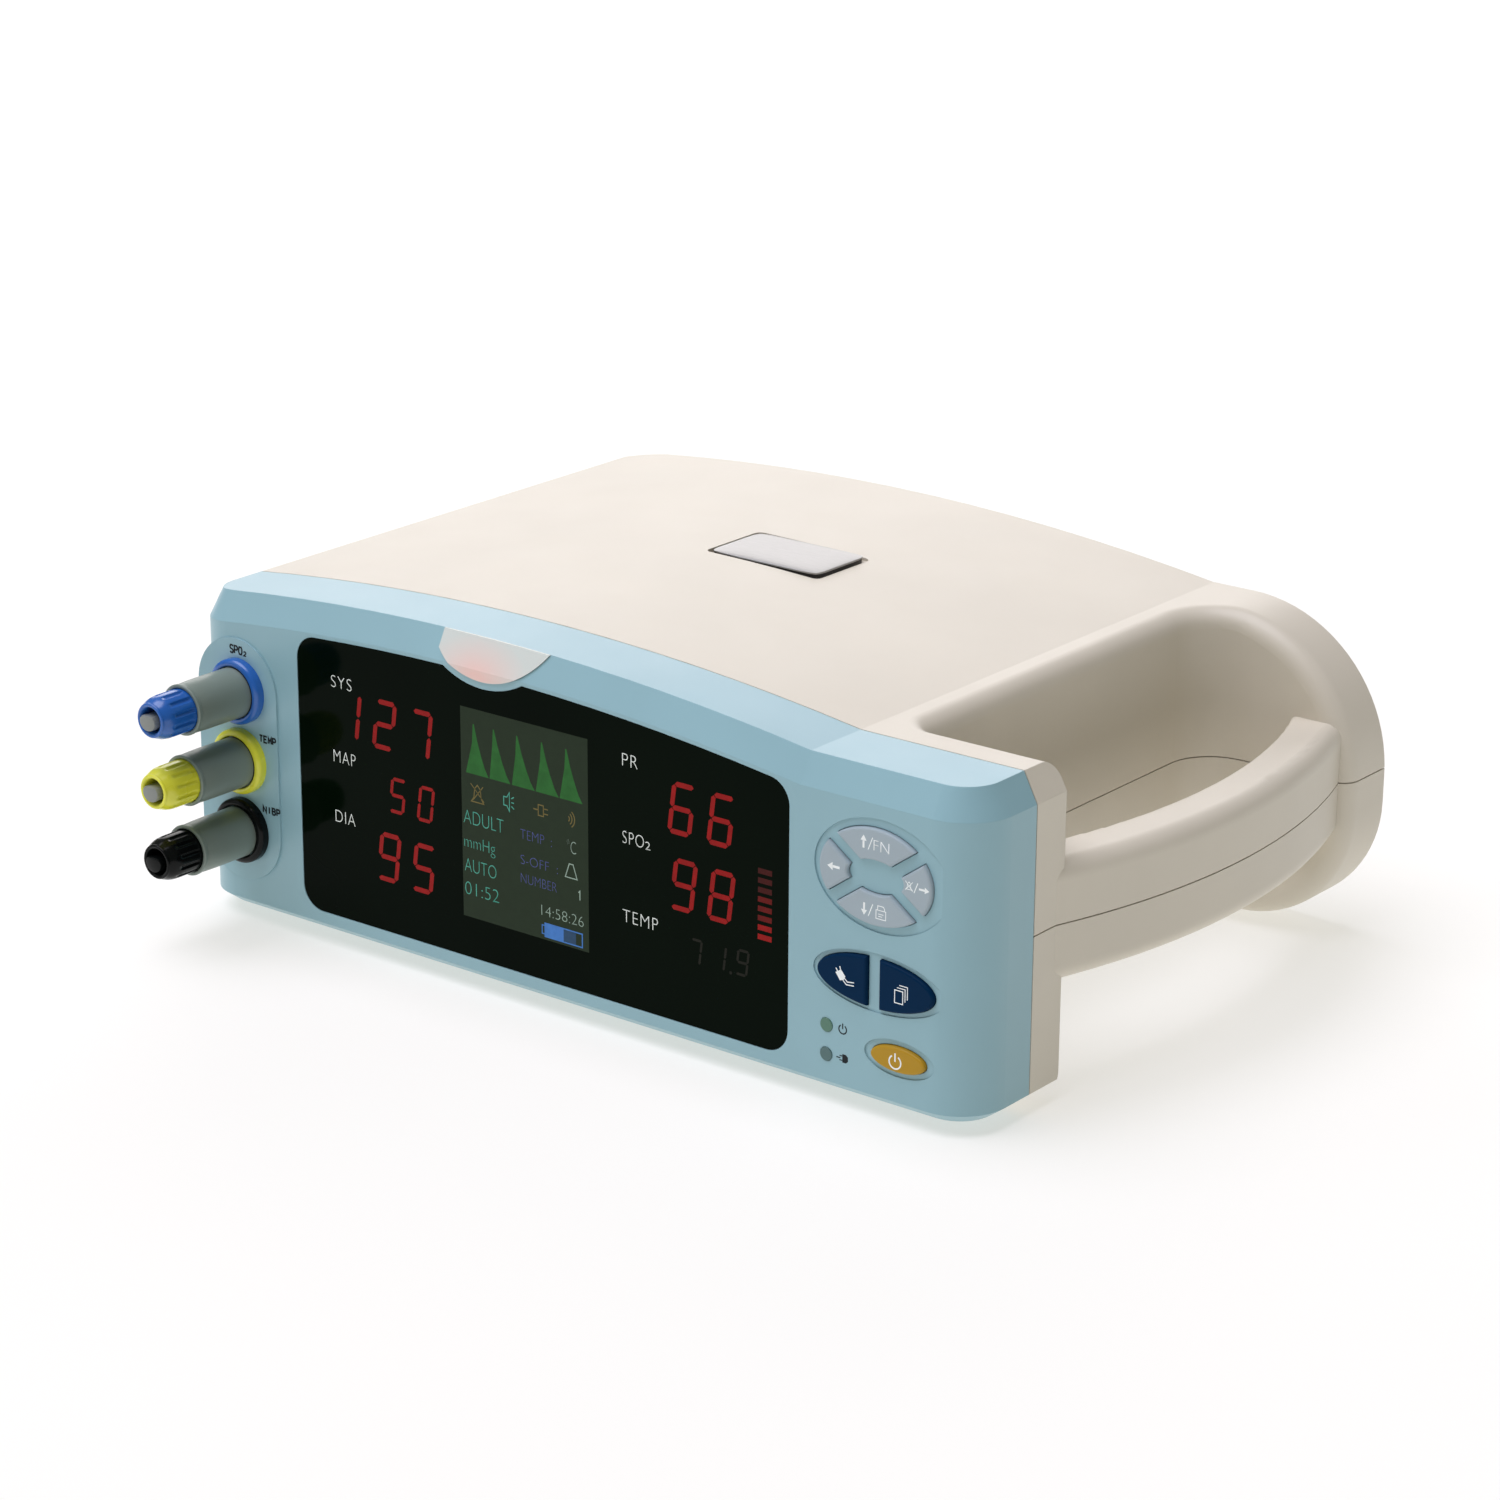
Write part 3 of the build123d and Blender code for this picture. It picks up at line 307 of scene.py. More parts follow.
CONNECTORS = ("nibp", "temp", "spo2")
PAINTED = {
    "front_bezel": "bezel", "top_cover": "cover", "bottom_cover": "cover",
    "battery_cover": "cover", "rubber_feet": "rubber", "display_window": "window",
    "alarm_lens": "lens",
    "up_key": "key_grey", "down_key": "key_grey", "left_key": "key_grey", "right_key": "key_grey",
    "cuff_key": "key_navy", "pages_key": "key_navy", "power_key": "key_orange",
    "power_indicator": "indicator_green", "charge_indicator": "indicator_grey",
    "display_board": "board", "digit_modules": "module", "bar_graph": "module",
    "lcd_module": "module", "key_board": "board", "key_switches": "black",
    "alarm_light_board": "board", "main_board": "board", "power_supply_board": "board",
    "display_ribbon": "ribbon", "mains_inlet": "black", "data_port": "black",
    "ground_terminal": "brass", "speaker": "black", "air_hose": "hose", "nibp_pump": "steel",
    "pump_bracket": "steel", "nibp_valve": "black", "battery_pack": "battery",
    "battery_cover_screws": "steel", "cover_screws": "steel", "bezel_screws": "steel",
    "board_screws": "steel",
}
for node_name, material_key in PAINTED.items():
    paint(node_name, material_key)
for name in CONNECTORS:
    paint(name + "_socket_body", "socket_black")
    paint(name + "_plug_core", "socket_black")


def soften(node, width):
    """Rounds a carried-over piece's sharp edges a little."""
    bevel = NODES[node].modifiers.new("soft_edges", "BEVEL")
    bevel.width = width * MM
    bevel.segments = 3
    bevel.limit_method = "ANGLE"
    bevel.angle_limit = math.radians(50)


soften("alarm_lens", 0.35)


# ---- mesh helpers -------------------------------------------------------------------
def add_mesh(name, bm, material, body, smooth_angle=None):
    bmesh.ops.recalc_face_normals(bm, faces=bm.faces)
    mesh = bpy.data.meshes.new(name)
    bm.to_mesh(mesh)
    bm.free()
    mesh.materials.append(MATERIALS[material])
    obj = bpy.data.objects.new(name, mesh)
    bpy.context.scene.collection.objects.link(obj)
    if smooth_angle:
        mesh.shade_smooth()
        mesh.set_sharp_from_angle(angle=math.radians(smooth_angle))
    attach(obj, body)
    return obj


def lathe(name, profile, x, z, material, body, radius_at=None, segments=128, smooth_angle=35):
    """Turned ring about an axis along Y: profile is a closed list of (radius, y) in
    millimetres.  radius_at(angle, radius, y) may change a radius, as flutes do."""
    bm = bmesh.new()
    rings = []
    for radius, y in profile:
        ring = []
        for i in range(segments):
            angle = 2 * math.pi * i / segments
            r = radius_at(angle, radius, y) if radius_at else radius
            ring.append(bm.verts.new(at(x + r * math.cos(angle), y, z + r * math.sin(angle))))
        rings.append(ring)
    for a, b in zip(rings, rings[1:] + rings[:1]):
        for i in range(segments):
            j = (i + 1) % segments
            bm.faces.new((a[i], a[j], b[j], b[i]))
    return add_mesh(name, bm, material, body, smooth_angle)


def arc_profile(cr, cy, radius, start, end, steps):
    """Round stretch of a profile, angles in degrees from +radius towards +Y."""
    places = []
    for i in range(steps + 1):
        a = math.radians(start + (end - start) * i / steps)
        places.append((cr + radius * math.cos(a), cy + radius * math.sin(a)))
    return places


def inked(name, polygons, y, material, body, thick=INK_THICK):
    """Flat marks on the front: polygons are lists of (x, z) in millimetres."""
    bm = bmesh.new()
    for outline in polygons:
        front = [bm.verts.new(at(px, y - thick, pz)) for px, pz in outline]
        back = [bm.verts.new(at(px, y, pz)) for px, pz in outline]
        bm.faces.new(front)
        bm.faces.new(list(reversed(back)))
        for i in range(len(front)):
            j = (i + 1) % len(front)
            bm.faces.new((front[j], front[i], back[i], back[j]))
    return add_mesh(name, bm, material, body)


def ribbon(points, width, closed=False):
    """Line of even width as four-sided stretches with mitred joints."""
    count = len(points)
    sides = []
    for i, (px, pz) in enumerate(points):
        before = points[i - 1] if (i > 0 or closed) else None
        after = points[(i + 1) % count] if (i < count - 1 or closed) else None
        directions = []
        if before is not None:
            directions.append((px - before[0], pz - before[1]))
        if after is not None:
            directions.append((after[0] - px, after[1] - pz))
        units = [(dx / math.hypot(dx, dz), dz / math.hypot(dx, dz)) for dx, dz in directions]
        nx = -sum(u[1] for u in units)
        nz = sum(u[0] for u in units)
        length = math.hypot(nx, nz)
        nx, nz = nx / length, nz / length
        along = units[0]
        reach = width / 2 / max(0.4, abs(-along[1] * nx + along[0] * nz))
        sides.append(((px + nx * reach, pz + nz * reach), (px - nx * reach, pz - nz * reach)))
    stretches = []
    for i in range(count if closed else count - 1):
        a, b = sides[i], sides[(i + 1) % count]
        stretches.append([a[0], b[0], b[1], a[1]])
    return stretches


def circle_points(cx, cz, rx, rz=None, start=0, end=360, steps=24):
    rz = rx if rz is None else rz
    full = abs(end - start) >= 360
    count = steps if full else steps + 1
    return [(cx + rx * math.cos(math.radians(start + (end - start) * i / steps)),
             cz + rz * math.sin(math.radians(start + (end - start) * i / steps)))
            for i in range(count)]


def placed(polygons, cx, cz, scale=1.0):
    return [[(cx + px * scale, cz + pz * scale) for px, pz in outline] for outline in polygons]


def lettering(name, words, x, z, height, y, material, body, width, from_left=False,
              spacing=1.0, bold=0.0):
    """Plain sans lettering on a front face, fitted to a height and a width in millimetres.
    x is its middle, or its left end where from_left is set."""
    curve = bpy.data.curves.new(name, "FONT")
    curve.body = words
    curve.space_character = spacing
    curve.resolution_u = 6
    curve.offset = bold
    text = bpy.data.objects.new(name + "_text", curve)
    bpy.context.scene.collection.objects.link(text)
    bpy.context.view_layer.update()
    shown = text.evaluated_get(bpy.context.evaluated_depsgraph_get())
    flat = bpy.data.meshes.new_from_object(shown)
    bpy.data.objects.remove(text)
    bpy.data.curves.remove(curve)
    xs = [v.co.x for v in flat.vertices]
    zs = [v.co.y for v in flat.vertices]
    scale_z = height / (max(zs) - min(zs))
    scale_x = width / (max(xs) - min(xs))
    anchor_x = min(xs) if from_left else (max(xs) + min(xs)) / 2
    anchor_z = (max(zs) + min(zs)) / 2
    bm = bmesh.new()
    bm.from_mesh(flat)
    bpy.data.meshes.remove(flat)
    bmesh.ops.dissolve_limit(bm, angle_limit=0.01, verts=bm.verts, edges=bm.edges)
    for v in bm.verts:
        v.co = at(x + (v.co.x - anchor_x) * scale_x, y - INK_THICK,
                  z + (v.co.y - anchor_z) * scale_z)
    solid = bmesh.ops.extrude_face_region(bm, geom=bm.faces[:])
    bmesh.ops.translate(bm, vec=(0, INK_THICK * MM, 0),
                        verts=[g for g in solid["geom"] if isinstance(g, bmesh.types.BMVert)])
    return add_mesh(name, bm, material, body)


# ---- patient plugs ------------------------------------------------------------------
CONNECTOR_X = 19.4
CONNECTOR_LOW_Z = 24.5
CONNECTOR_PITCH = 20.5
RIBS = 12
GROOVE_DEPTH = 0.55
GROOVE_HALF = 0.21       # half a groove's width, as a share of the pitch
GROOVE_BACK_Y, GROOVE_FRONT_Y = -23.3, -31.4
SMOOTH_R = 4.7           # inside this are the nose's tip and the hole, which stay smooth
COLLET_LOOKS = {"spo2": "collet_grey", "temp": "collet_grey", "nibp": "nibp"}


def fluted(angle, radius, y):
    """Radius of the ribbed nut: narrow grooves that run out before its smooth nose."""
    if radius < SMOOTH_R:
        return radius
    run_out = min(1.0, max(0.0, (y - GROOVE_FRONT_Y) / 0.9))
    run_in = min(1.0, max(0.0, (GROOVE_BACK_Y - y) / 0.3))
    phase = (angle * RIBS / (2 * math.pi)) % 1.0
    across = abs(phase - 0.5) / GROOVE_HALF
    depth = GROOVE_DEPTH * math.sqrt(max(0.0, 1 - across * across))
    return radius - depth * (run_out * run_in)


def connector(name, z):
    """Coloured ring on the socket, and the plug's shell, ribbed nut and cable clamp."""
    x = CONNECTOR_X
    body = name + "_plug"
    ring = ([(9.45, -0.6), (9.45, -2.1)] + arc_profile(8.15, -2.3, 1.3, 0, -80, 8)
            + arc_profile(8.0, -3.2, 0.45, -95, -180, 4) + [(7.55, -0.6)])
    piece = lathe(name + "_ring", ring, x, z, name, "monitor")
    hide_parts(name + "_socket_nut")
    shell = ([(7.05, -3.2), (7.25, -3.4), (7.28, -14.0), (7.24, -17.6), (7.10, -21.2),
              (6.98, -21.7), (6.98, -21.9), (7.25, -22.2)]
             + arc_profile(6.85, -22.9, 0.45, 20, -90, 5)
             + arc_profile(6.50, -23.1, 0.20, -90, -180, 3)
             + [(6.25, -21.5), (5.2, -21.0), (5.2, -3.2)])
    piece = lathe(name + "_plug_body", shell, x, z, "shell_grey", body)
    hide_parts(name + "_plug_shell")
    nut = ([(5.9, -21.2), (6.12, -23.2), (6.2, -24.0), (6.2, -26.0), (6.2, -28.0), (6.18, -30.0),
            (6.14, -30.6), (6.08, -31.2), (5.9, -32.2), (5.45, -33.4), (5.05, -34.3)]
           + arc_profile(4.45, -34.65, 0.5, 10, -90, 5)
           + [(3.95, -35.0), (3.6, -34.3), (3.45, -31.0), (3.45, -21.2)])
    piece = lathe(name + "_ribbed_nut", nut, x, z, name, body, fluted, segments=240,
                  smooth_angle=50)
    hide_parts(name + "_collet_nut")
    collet(name, z, body)


def collet(name, z, body):
    """Cable clamp in the nut's nose: a solid half-round tongue low in the hole.
    A station is the outline's scale and its place along Y."""
    low = -0.35
    outline = (circle_points(-0.5, low, 2.9, 2.6, 160, 380, 32)
               + [(1.6, 1.25), (-0.5, 1.5), (-2.6, 1.25)])
    stations = [(1.0, -26.0), (1.0, -35.4), (0.96, -35.68), (0.86, -35.78)]
    bm = bmesh.new()
    rings = [[bm.verts.new(at(CONNECTOR_X + px * scale, y, z + low + (pz - low) * scale))
              for px, pz in outline] for scale, y in stations]
    for a, b in zip(rings, rings[1:]):
        for i in range(len(a)):
            j = (i + 1) % len(a)
            bm.faces.new((a[i], a[j], b[j], b[i]))
    bm.faces.new(rings[0])
    bm.faces.new(list(reversed(rings[-1])))
    piece = add_mesh(name + "_collet", bm, COLLET_LOOKS[name], body, 40)
    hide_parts(name + "_plug_collet")


for index, name in enumerate(CONNECTORS):
    connector(name, CONNECTOR_LOW_Z + CONNECTOR_PITCH * index)


# ---- name plate -----------------------------------------------------------------------
def walled(bm, upper, lower):
    """Wall between two closed rings of corners, and the face that closes the lower one."""
    for i in range(len(upper)):
        j = (i + 1) % len(upper)
        bm.faces.new((upper[i], lower[i], lower[j], upper[j]))
    bm.faces.new(list(reversed(lower)))


def name_plate():
    """Blank plate, domed like a pillow and rounded at its corners, on a black block that is painted
    shade under its edges.
    """
    low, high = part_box("badge_plate")
    middle = (Vector(low) + Vector(high)) / 2
    half_x, half_y = (high[0] - low[0]) / 2, (high[1] - low[1]) / 2
    rim = 1.85 * MM
    rise = high[2] - low[2] - rim
    # height of the black block, painted shade, that the plate stands on
    shade_block_height = 1.45 * MM
    shade_block_share_x, shade_block_share_y = 0.992, 0.988
    corner_x, corner_y = 0.05, 0.06      # share by which a corner is drawn in
    columns, rows = 48, 32
    bm = bmesh.new()
    grid = []
    for j in range(rows + 1):
        v = math.sin(math.pi * (j / rows - 0.5))
        line = []
        for i in range(columns + 1):
            u = math.sin(math.pi * (i / columns - 0.5))
            x = middle[0] + half_x * u * (1 - corner_x * v ** 8)
            y = middle[1] + half_y * v * (1 - corner_y * u ** 8)
            swell = ((1 - u ** 4) * (1 - v ** 4)) ** 0.6
            line.append(bm.verts.new((x, y, low[2] + rim + rise * swell)))
        grid.append(line)
    for j in range(rows):
        for i in range(columns):
            bm.faces.new((grid[j][i], grid[j][i + 1], grid[j + 1][i + 1], grid[j + 1][i]))
    border = (grid[0] + [line[-1] for line in grid[1:]] + list(reversed(grid[-1][:-1]))
              + [line[0] for line in reversed(grid[1:-1])])
    foot = [bm.verts.new((v.co.x, v.co.y, low[2] + shade_block_height)) for v in border]
    walled(bm, border, foot)
    outline = [(middle[0] + (v.co.x - middle[0]) * shade_block_share_x,
                middle[1] + (v.co.y - middle[1]) * shade_block_share_y) for v in border]
    piece = add_mesh("name_plate", bm, "badge", "monitor", 50)
    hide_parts("badge_plate")

    # Black block under the plate: painted shade standing in for the shadow along the plate's sides
    # and in the gap round it.
    bm = bmesh.new()
    under = [bm.verts.new((x, y, low[2])) for x, y in outline]
    over = [bm.verts.new((x, y, low[2] + shade_block_height)) for x, y in outline]
    walled(bm, over, under)
    bm.faces.new(over)
    add_mesh("name_plate_painted_shade", bm, "black", "monitor", 50)


name_plate()


# ---- printing on the connector pad ----------------------------------------------------
STROKES = {      # single-line letters in a square one unit wide and high
    "S": [[(0.95, 0.85), (0.75, 1), (0.25, 1), (0.05, 0.85), (0.05, 0.65), (0.25, 0.53),
           (0.75, 0.46), (0.95, 0.33), (0.95, 0.15), (0.75, 0), (0.25, 0), (0.05, 0.15)]],
    "P": [[(0, 0), (0, 1), (0.7, 1), (0.95, 0.86), (0.95, 0.6), (0.7, 0.46), (0, 0.46)]],
    "O": [[(0.5, 0), (0.8, 0.04), (1, 0.3), (1, 0.7), (0.8, 0.96), (0.2, 0.96), (0, 0.7),
           (0, 0.3), (0.2, 0.04), (0.5, 0)]],
    "2": [[(0.05, 0.8), (0.25, 1), (0.75, 1), (0.95, 0.8), (0.95, 0.62), (0.05, 0), (1, 0)]],
    "T": [[(0, 1), (1, 1)], [(0.5, 1), (0.5, 0)]],
    "E": [[(1, 1), (0, 1), (0, 0), (1, 0)], [(0, 0.52), (0.8, 0.52)]],
    "M": [[(0, 0), (0, 1), (0.5, 0.3), (1, 1), (1, 0)]],
    "N": [[(0, 0), (0, 1), (1, 0), (1, 1)]],
    "I": [[(0.5, 0), (0.5, 1)]],
    "B": [[(0, 0), (0, 1), (0.7, 1), (0.93, 0.87), (0.93, 0.66), (0.7, 0.53), (0.97, 0.38),
           (0.97, 0.13), (0.75, 0), (0, 0)], [(0, 0.53), (0.7, 0.53)]],
}


def pad_label(name, words, left, low, height, width, pitch, line=0.50):
    """Bold single-line letters printed on the pad."""
    marks = []
    for place, letter in enumerate(words):
        start = left + place * pitch
        for stroke in STROKES[letter]:
            marks += ribbon([(start + px * width, low + pz * height) for px, pz in stroke], line)
    inked(name, marks, PAD_Y, "ink_dark", "monitor", PAD_INK_THICK)


pad_label("pad_label_spo", "SPO", 16.3, 76.1, 2.2, 1.2, 1.68)
pad_label("pad_label_spo_low", "2", 21.5, 76.0, 1.2, 0.95, 1.0, 0.38)
pad_label("pad_label_temp", "TEMP", 26.6, 52.1, 1.85, 1.15, 1.68)
pad_label("pad_label_nibp", "NIBP", 27.1, 31.3, 1.85, 1.15, 1.75)


# ---- display ------------------------------------------------------------------------
SEGMENTS = {"0": "abcdef", "1": "bc", "2": "abged", "3": "abgcd", "5": "afgcd", "6": "afgedc",
            "7": "abc", "8": "abcdefg", "9": "abfgcd"}
SLANT = 0.13


def segment_digit(digit, cx, cz, height):
    """Seven-segment digit, leaning a little, as separate six-sided bars."""
    width = height * 0.545
    bar = height * 0.098
    gap = height * 0.012
    half_w = width / 2 - bar / 2
    half_h = height / 2 - bar / 2
    ends = {"a": ((-half_w, half_h), (half_w, half_h)), "g": ((-half_w, 0), (half_w, 0)),
            "d": ((-half_w, -half_h), (half_w, -half_h)), "f": ((-half_w, half_h), (-half_w, 0)),
            "b": ((half_w, half_h), (half_w, 0)), "e": ((-half_w, 0), (-half_w, -half_h)),
            "c": ((half_w, 0), (half_w, -half_h))}
    outlines = []
    for key in SEGMENTS[digit]:
        (ax, az), (bx, bz) = ends[key]
        length = math.hypot(bx - ax, bz - az)
        ux, uz = (bx - ax) / length, (bz - az) / length
        nx, nz = -uz, ux
        h = bar / 2
        shape = [(gap, 0), (gap + h * 0.9, h), (length - gap - h * 0.9, h), (length - gap, 0),
                 (length - gap - h * 0.9, -h), (gap + h * 0.9, -h)]
        outlines.append([(cx + ax + ux * s + nx * t + (az + uz * s + nz * t) * SLANT,
                          cz + az + uz * s + nz * t) for s, t in shape])
    return outlines


def digits(name, text, places, height, material="led_red"):
    shapes = []
    for digit, (cx, cz) in zip(text, places):
        shapes += segment_digit(digit, cx, cz, height)
    inked(name, shapes, FACE_Y, material, "monitor")


digits("digits_sys", "127", [(60.6, 66.5), (73.5, 66.5), (86.6, 66.5)], 14.4)
digits("digits_map", "50", [(77.8, 47.1), (88.1, 47.0)], 10.4)
digits("digits_dia", "95", [(74.1, 28.4), (86.8, 28.2)], 14.4)
digits("digits_pr", "66", [(177.0, 65.7), (189.9, 65.6)], 14.5)
digits("digits_spo", "98", [(177.6, 44.9), (190.0, 44.9)], 14.5)
digits("digits_temp", "719", [(181.6, 27.6), (189.6, 28.0), (197.0, 28.4)], 7.4, "led_off_painted_glow")
inked("digits_temp_point", [circle_points(193.2, 24.7, 0.45)], FACE_Y, "led_off_painted_glow", "monitor")

BAR_COUNT = 8
BAR_LEFT, BAR_RIGHT, BAR_LOW_Z = 201.9, 206.4, 36.3
BAR_PITCH, BAR_HEIGHT, BAR_LEAN = 2.56, 1.5, 0.05
for group, first, last in (("led_red", 0, 2), ("led_red_mid", 2, 5),
                           ("led_red_low", 5, BAR_COUNT)):
    bars = []
    for step in range(first, last):
        z = BAR_LOW_Z + BAR_PITCH * step
        bars.append([(BAR_LEFT, z), (BAR_RIGHT, z), (BAR_RIGHT + BAR_LEAN, z + BAR_HEIGHT),
                     (BAR_LEFT + BAR_LEAN, z + BAR_HEIGHT)])
    inked("bars_" + group, bars, FACE_Y, group, "monitor")

LABEL_HEIGHT = 3.4
for name, words, x, z, width in (
        ("label_sys", "SYS", 57.8, 75.3, 7.6), ("label_map", "MAP", 58.3, 53.8, 8.2),
        ("label_dia", "DIA", 58.0, 36.3, 7.4), ("label_pr", "PR", 159.8, 75.1, 5.2),
        ("label_spo", "SPO", 160.8, 53.8, 7.2), ("label_temp", "TEMP", 163.1, 31.9, 11.9)):
    lettering(name, words, x, z, LABEL_HEIGHT, FACE_Y, "ink_label_painted_glow", "monitor", width,
              spacing=1.1, bold=-0.02)
lettering("label_spo_low", "2", 165.7, 53.1, 2.2, FACE_Y, "ink_label_painted_glow", "monitor", 1.7,
          bold=-0.012)


# ---- lit panel ----------------------------------------------------------------------
LCD_LEFT, LCD_RIGHT, LCD_BOTTOM, LCD_TOP = 101.2, 145.5, 18.3, 78.0
PULSES = [(102.9, 105.8, 111.0), (111.3, 112.9, 118.7), (119.2, 121.1, 127.2),
          (127.5, 129.7, 135.5), (135.8, 138.1, 143.7)]      # start, tip and end of each beat
PULSE_FOOT, PULSE_TIP = 59.6, 73.7


def pulse(start, tip, end):
    """One beat: a steep rise and a slope that flattens towards its foot."""
    rise = PULSE_TIP - PULSE_FOOT
    outline = [(start, PULSE_FOOT), (tip - 0.55, PULSE_FOOT + rise * 0.62), (tip - 0.2, PULSE_TIP),
               (tip + 0.2, PULSE_TIP)]
    for share in (0.25, 0.5, 0.75):
        outline.append((tip + (end - tip) * share, PULSE_FOOT + rise * (1 - share) ** 1.35))
    return outline + [(end, PULSE_FOOT)]


def lcd_mark(name, marks, material):
    inked(name, marks, LCD_Y, material, "monitor")


def lcd_text(name, words, left, z, height, material, width, bold=-0.022):
    lettering(name, words, left, z, height, LCD_Y, material, "monitor", width, from_left=True,
              bold=bold)


inked("lcd_panel", [[(LCD_LEFT, LCD_TOP), (LCD_RIGHT, LCD_TOP), (LCD_RIGHT, LCD_BOTTOM),
                     (LCD_LEFT, LCD_BOTTOM)]], FACE_Y, "lcd_face", "monitor")
lcd_mark("lcd_pulses", [pulse(*places) for places in PULSES], "lcd_green")
lcd_text("lcd_adult", "ADULT", 101.8, 47.0, 3.8, "lcd_teal", 14.2)
lcd_text("lcd_unit", "mmHg", 101.9, 39.4, 4.4, "lcd_teal", 11.0)
lcd_text("lcd_auto", "AUTO", 101.9, 33.2, 3.7, "lcd_teal", 11.3)
lcd_text("lcd_interval", "01:52", 101.9, 26.5, 3.7, "lcd_teal", 12.1)
lcd_text("lcd_temp", "TEMP  :", 121.9, 46.5, 2.7, "lcd_violet", 11.0)
lcd_text("lcd_off", "S-OFF  :", 121.9, 39.3, 2.6, "lcd_violet", 13.0)
lcd_text("lcd_number", "NUMBER", 121.9, 34.0, 2.6, "lcd_violet", 12.6)
lcd_text("lcd_degree", "\u00b0C", 138.2, 46.8, 3.6, "lcd_grey", 3.1)
lcd_mark("lcd_count", ribbon([(142.0, 34.5), (142.5, 35.0), (142.5, 32.4)], 0.32), "lcd_grey")
lcd_text("lcd_clock", "14:58:26", 129.0, 26.5, 3.0, "lcd_grey", 14.7)
lcd_mark("lcd_alarm_sign", ribbon([(137.5, 38.0), (141.6, 38.0), (140.2, 41.9), (138.9, 41.9)],
                                  0.3, True), "lcd_grey")


def silenced_bell(x, z):
    """Bell, crossed out."""
    return (ribbon([(x - 2.2, z - 2.4), (x - 1.3, z - 1.2), (x - 1.0, z + 1.4), (x, z + 2.5),
                    (x + 1.0, z + 1.4), (x + 1.3, z - 1.2), (x + 2.2, z - 2.4)], 0.3, True)
            + ribbon([(x - 2.4, z + 2.6), (x + 2.3, z - 1.9)], 0.28)
            + ribbon([(x - 1.6, z - 1.9), (x + 2.0, z + 2.4)], 0.28))


def two_pin_plug(x, z):
    """Plug with its cord on the left and two pins on the right."""
    return (ribbon([(x - 2.6, z), (x - 0.9, z)], 0.36)
            + ribbon([(x - 0.9, z - 1.5), (x + 0.9, z - 1.5), (x + 0.9, z + 1.5),
                      (x - 0.9, z + 1.5)], 0.3, True)
            + ribbon([(x + 0.9, z + 0.7), (x + 2.5, z + 0.7)], 0.3)
            + ribbon([(x + 0.9, z - 0.7), (x + 2.5, z - 0.7)], 0.3))


def signal_waves(x, z):
    """Three arcs round a point, open to the right."""
    waves = []
    for r in (0.9, 1.8, 2.7):
        waves += ribbon(circle_points(x - 1.2, z, r, None, -52, 52, 10), 0.32)
    return waves


def loudspeaker(x, z):
    """Horn with three short sound lines."""
    horn = ribbon([(x - 1.7, z - 1.2), (x - 1.7, z + 1.2), (x - 0.6, z + 1.2), (x + 0.3, z + 2.6),
                   (x + 0.3, z - 2.6), (x - 0.6, z - 1.2)], 0.3, True)
    for dz in (-1.2, 0.0, 1.2):
        horn += ribbon([(x + 1.0, z + dz * 0.9), (x + 1.9, z + dz * 1.4)], 0.3)
    return horn


def lcd_battery():
    """Battery sign: an outline with its cap on the left, and the charge in two tones."""
    left, right, bottom, top = 130.2, 143.2, 19.2, 23.0
    middle = (top + bottom) / 2
    bright_end, dim_end = 136.7, 141.0
    bright_gap, dim_gap = 0.18, 0.25
    case = ribbon([(left, top), (right, top), (right, bottom), (left, bottom)], 0.36, True)
    cap = ribbon([(left - 0.2, middle + 1.2), (left - 1.0, middle + 1.2),
                  (left - 1.0, middle - 1.2), (left - 0.2, middle - 1.2)], 0.32)
    lcd_mark("lcd_battery_frame", case + cap, "lcd_blue")
    lcd_mark("lcd_battery_charge", [[(left + bright_gap, bottom + bright_gap),
                                     (bright_end, bottom + bright_gap),
                                     (bright_end, top - bright_gap),
                                     (left + bright_gap, top - bright_gap)]], "lcd_blue")
    lcd_mark("lcd_battery_part", [[(bright_end, bottom + dim_gap), (dim_end, bottom + dim_gap),
                                   (dim_end, top - dim_gap), (bright_end, top - dim_gap)]],
             "lcd_navy")


lcd_mark("lcd_dim_signs", silenced_bell(106.9, 54.2) + two_pin_plug(129.2, 54.6)
         + signal_waves(139.4, 54.5), "lcd_brown")
lcd_mark("lcd_speaker_sign", loudspeaker(117.9, 54.5), "lcd_teal")
lcd_battery()


# ---- legends on the keys --------------------------------------------------------------
UP_ARROW = [[(-0.3, -1.7), (0.3, -1.7), (0.3, 0.35), (-0.3, 0.35)],
            [(-0.95, 0.25), (0.95, 0.25), (0, 1.75)]]


def turned(polygons, degrees):
    c, s = math.cos(math.radians(degrees)), math.sin(math.radians(degrees))
    return [[(px * c - pz * s, px * s + pz * c) for px, pz in outline] for outline in polygons]


def slash(x, z, height=3.4):
    return ribbon([(x - height * 0.2, z - height / 2), (x + height * 0.2, z + height / 2)], 0.26)


def mute_sign(x, z):
    """Small bell under a cross."""
    return (ribbon([(x - 1.0, z - 0.9), (x - 0.55, z - 0.4), (x - 0.45, z + 0.6), (x, z + 1.1),
                    (x + 0.45, z + 0.6), (x + 0.55, z - 0.4), (x + 1.0, z - 0.9)], 0.18, True)
            + ribbon([(x - 1.1, z - 1.2), (x + 1.1, z + 1.2)], 0.18)
            + ribbon([(x - 1.1, z + 1.2), (x + 1.1, z - 1.2)], 0.18))


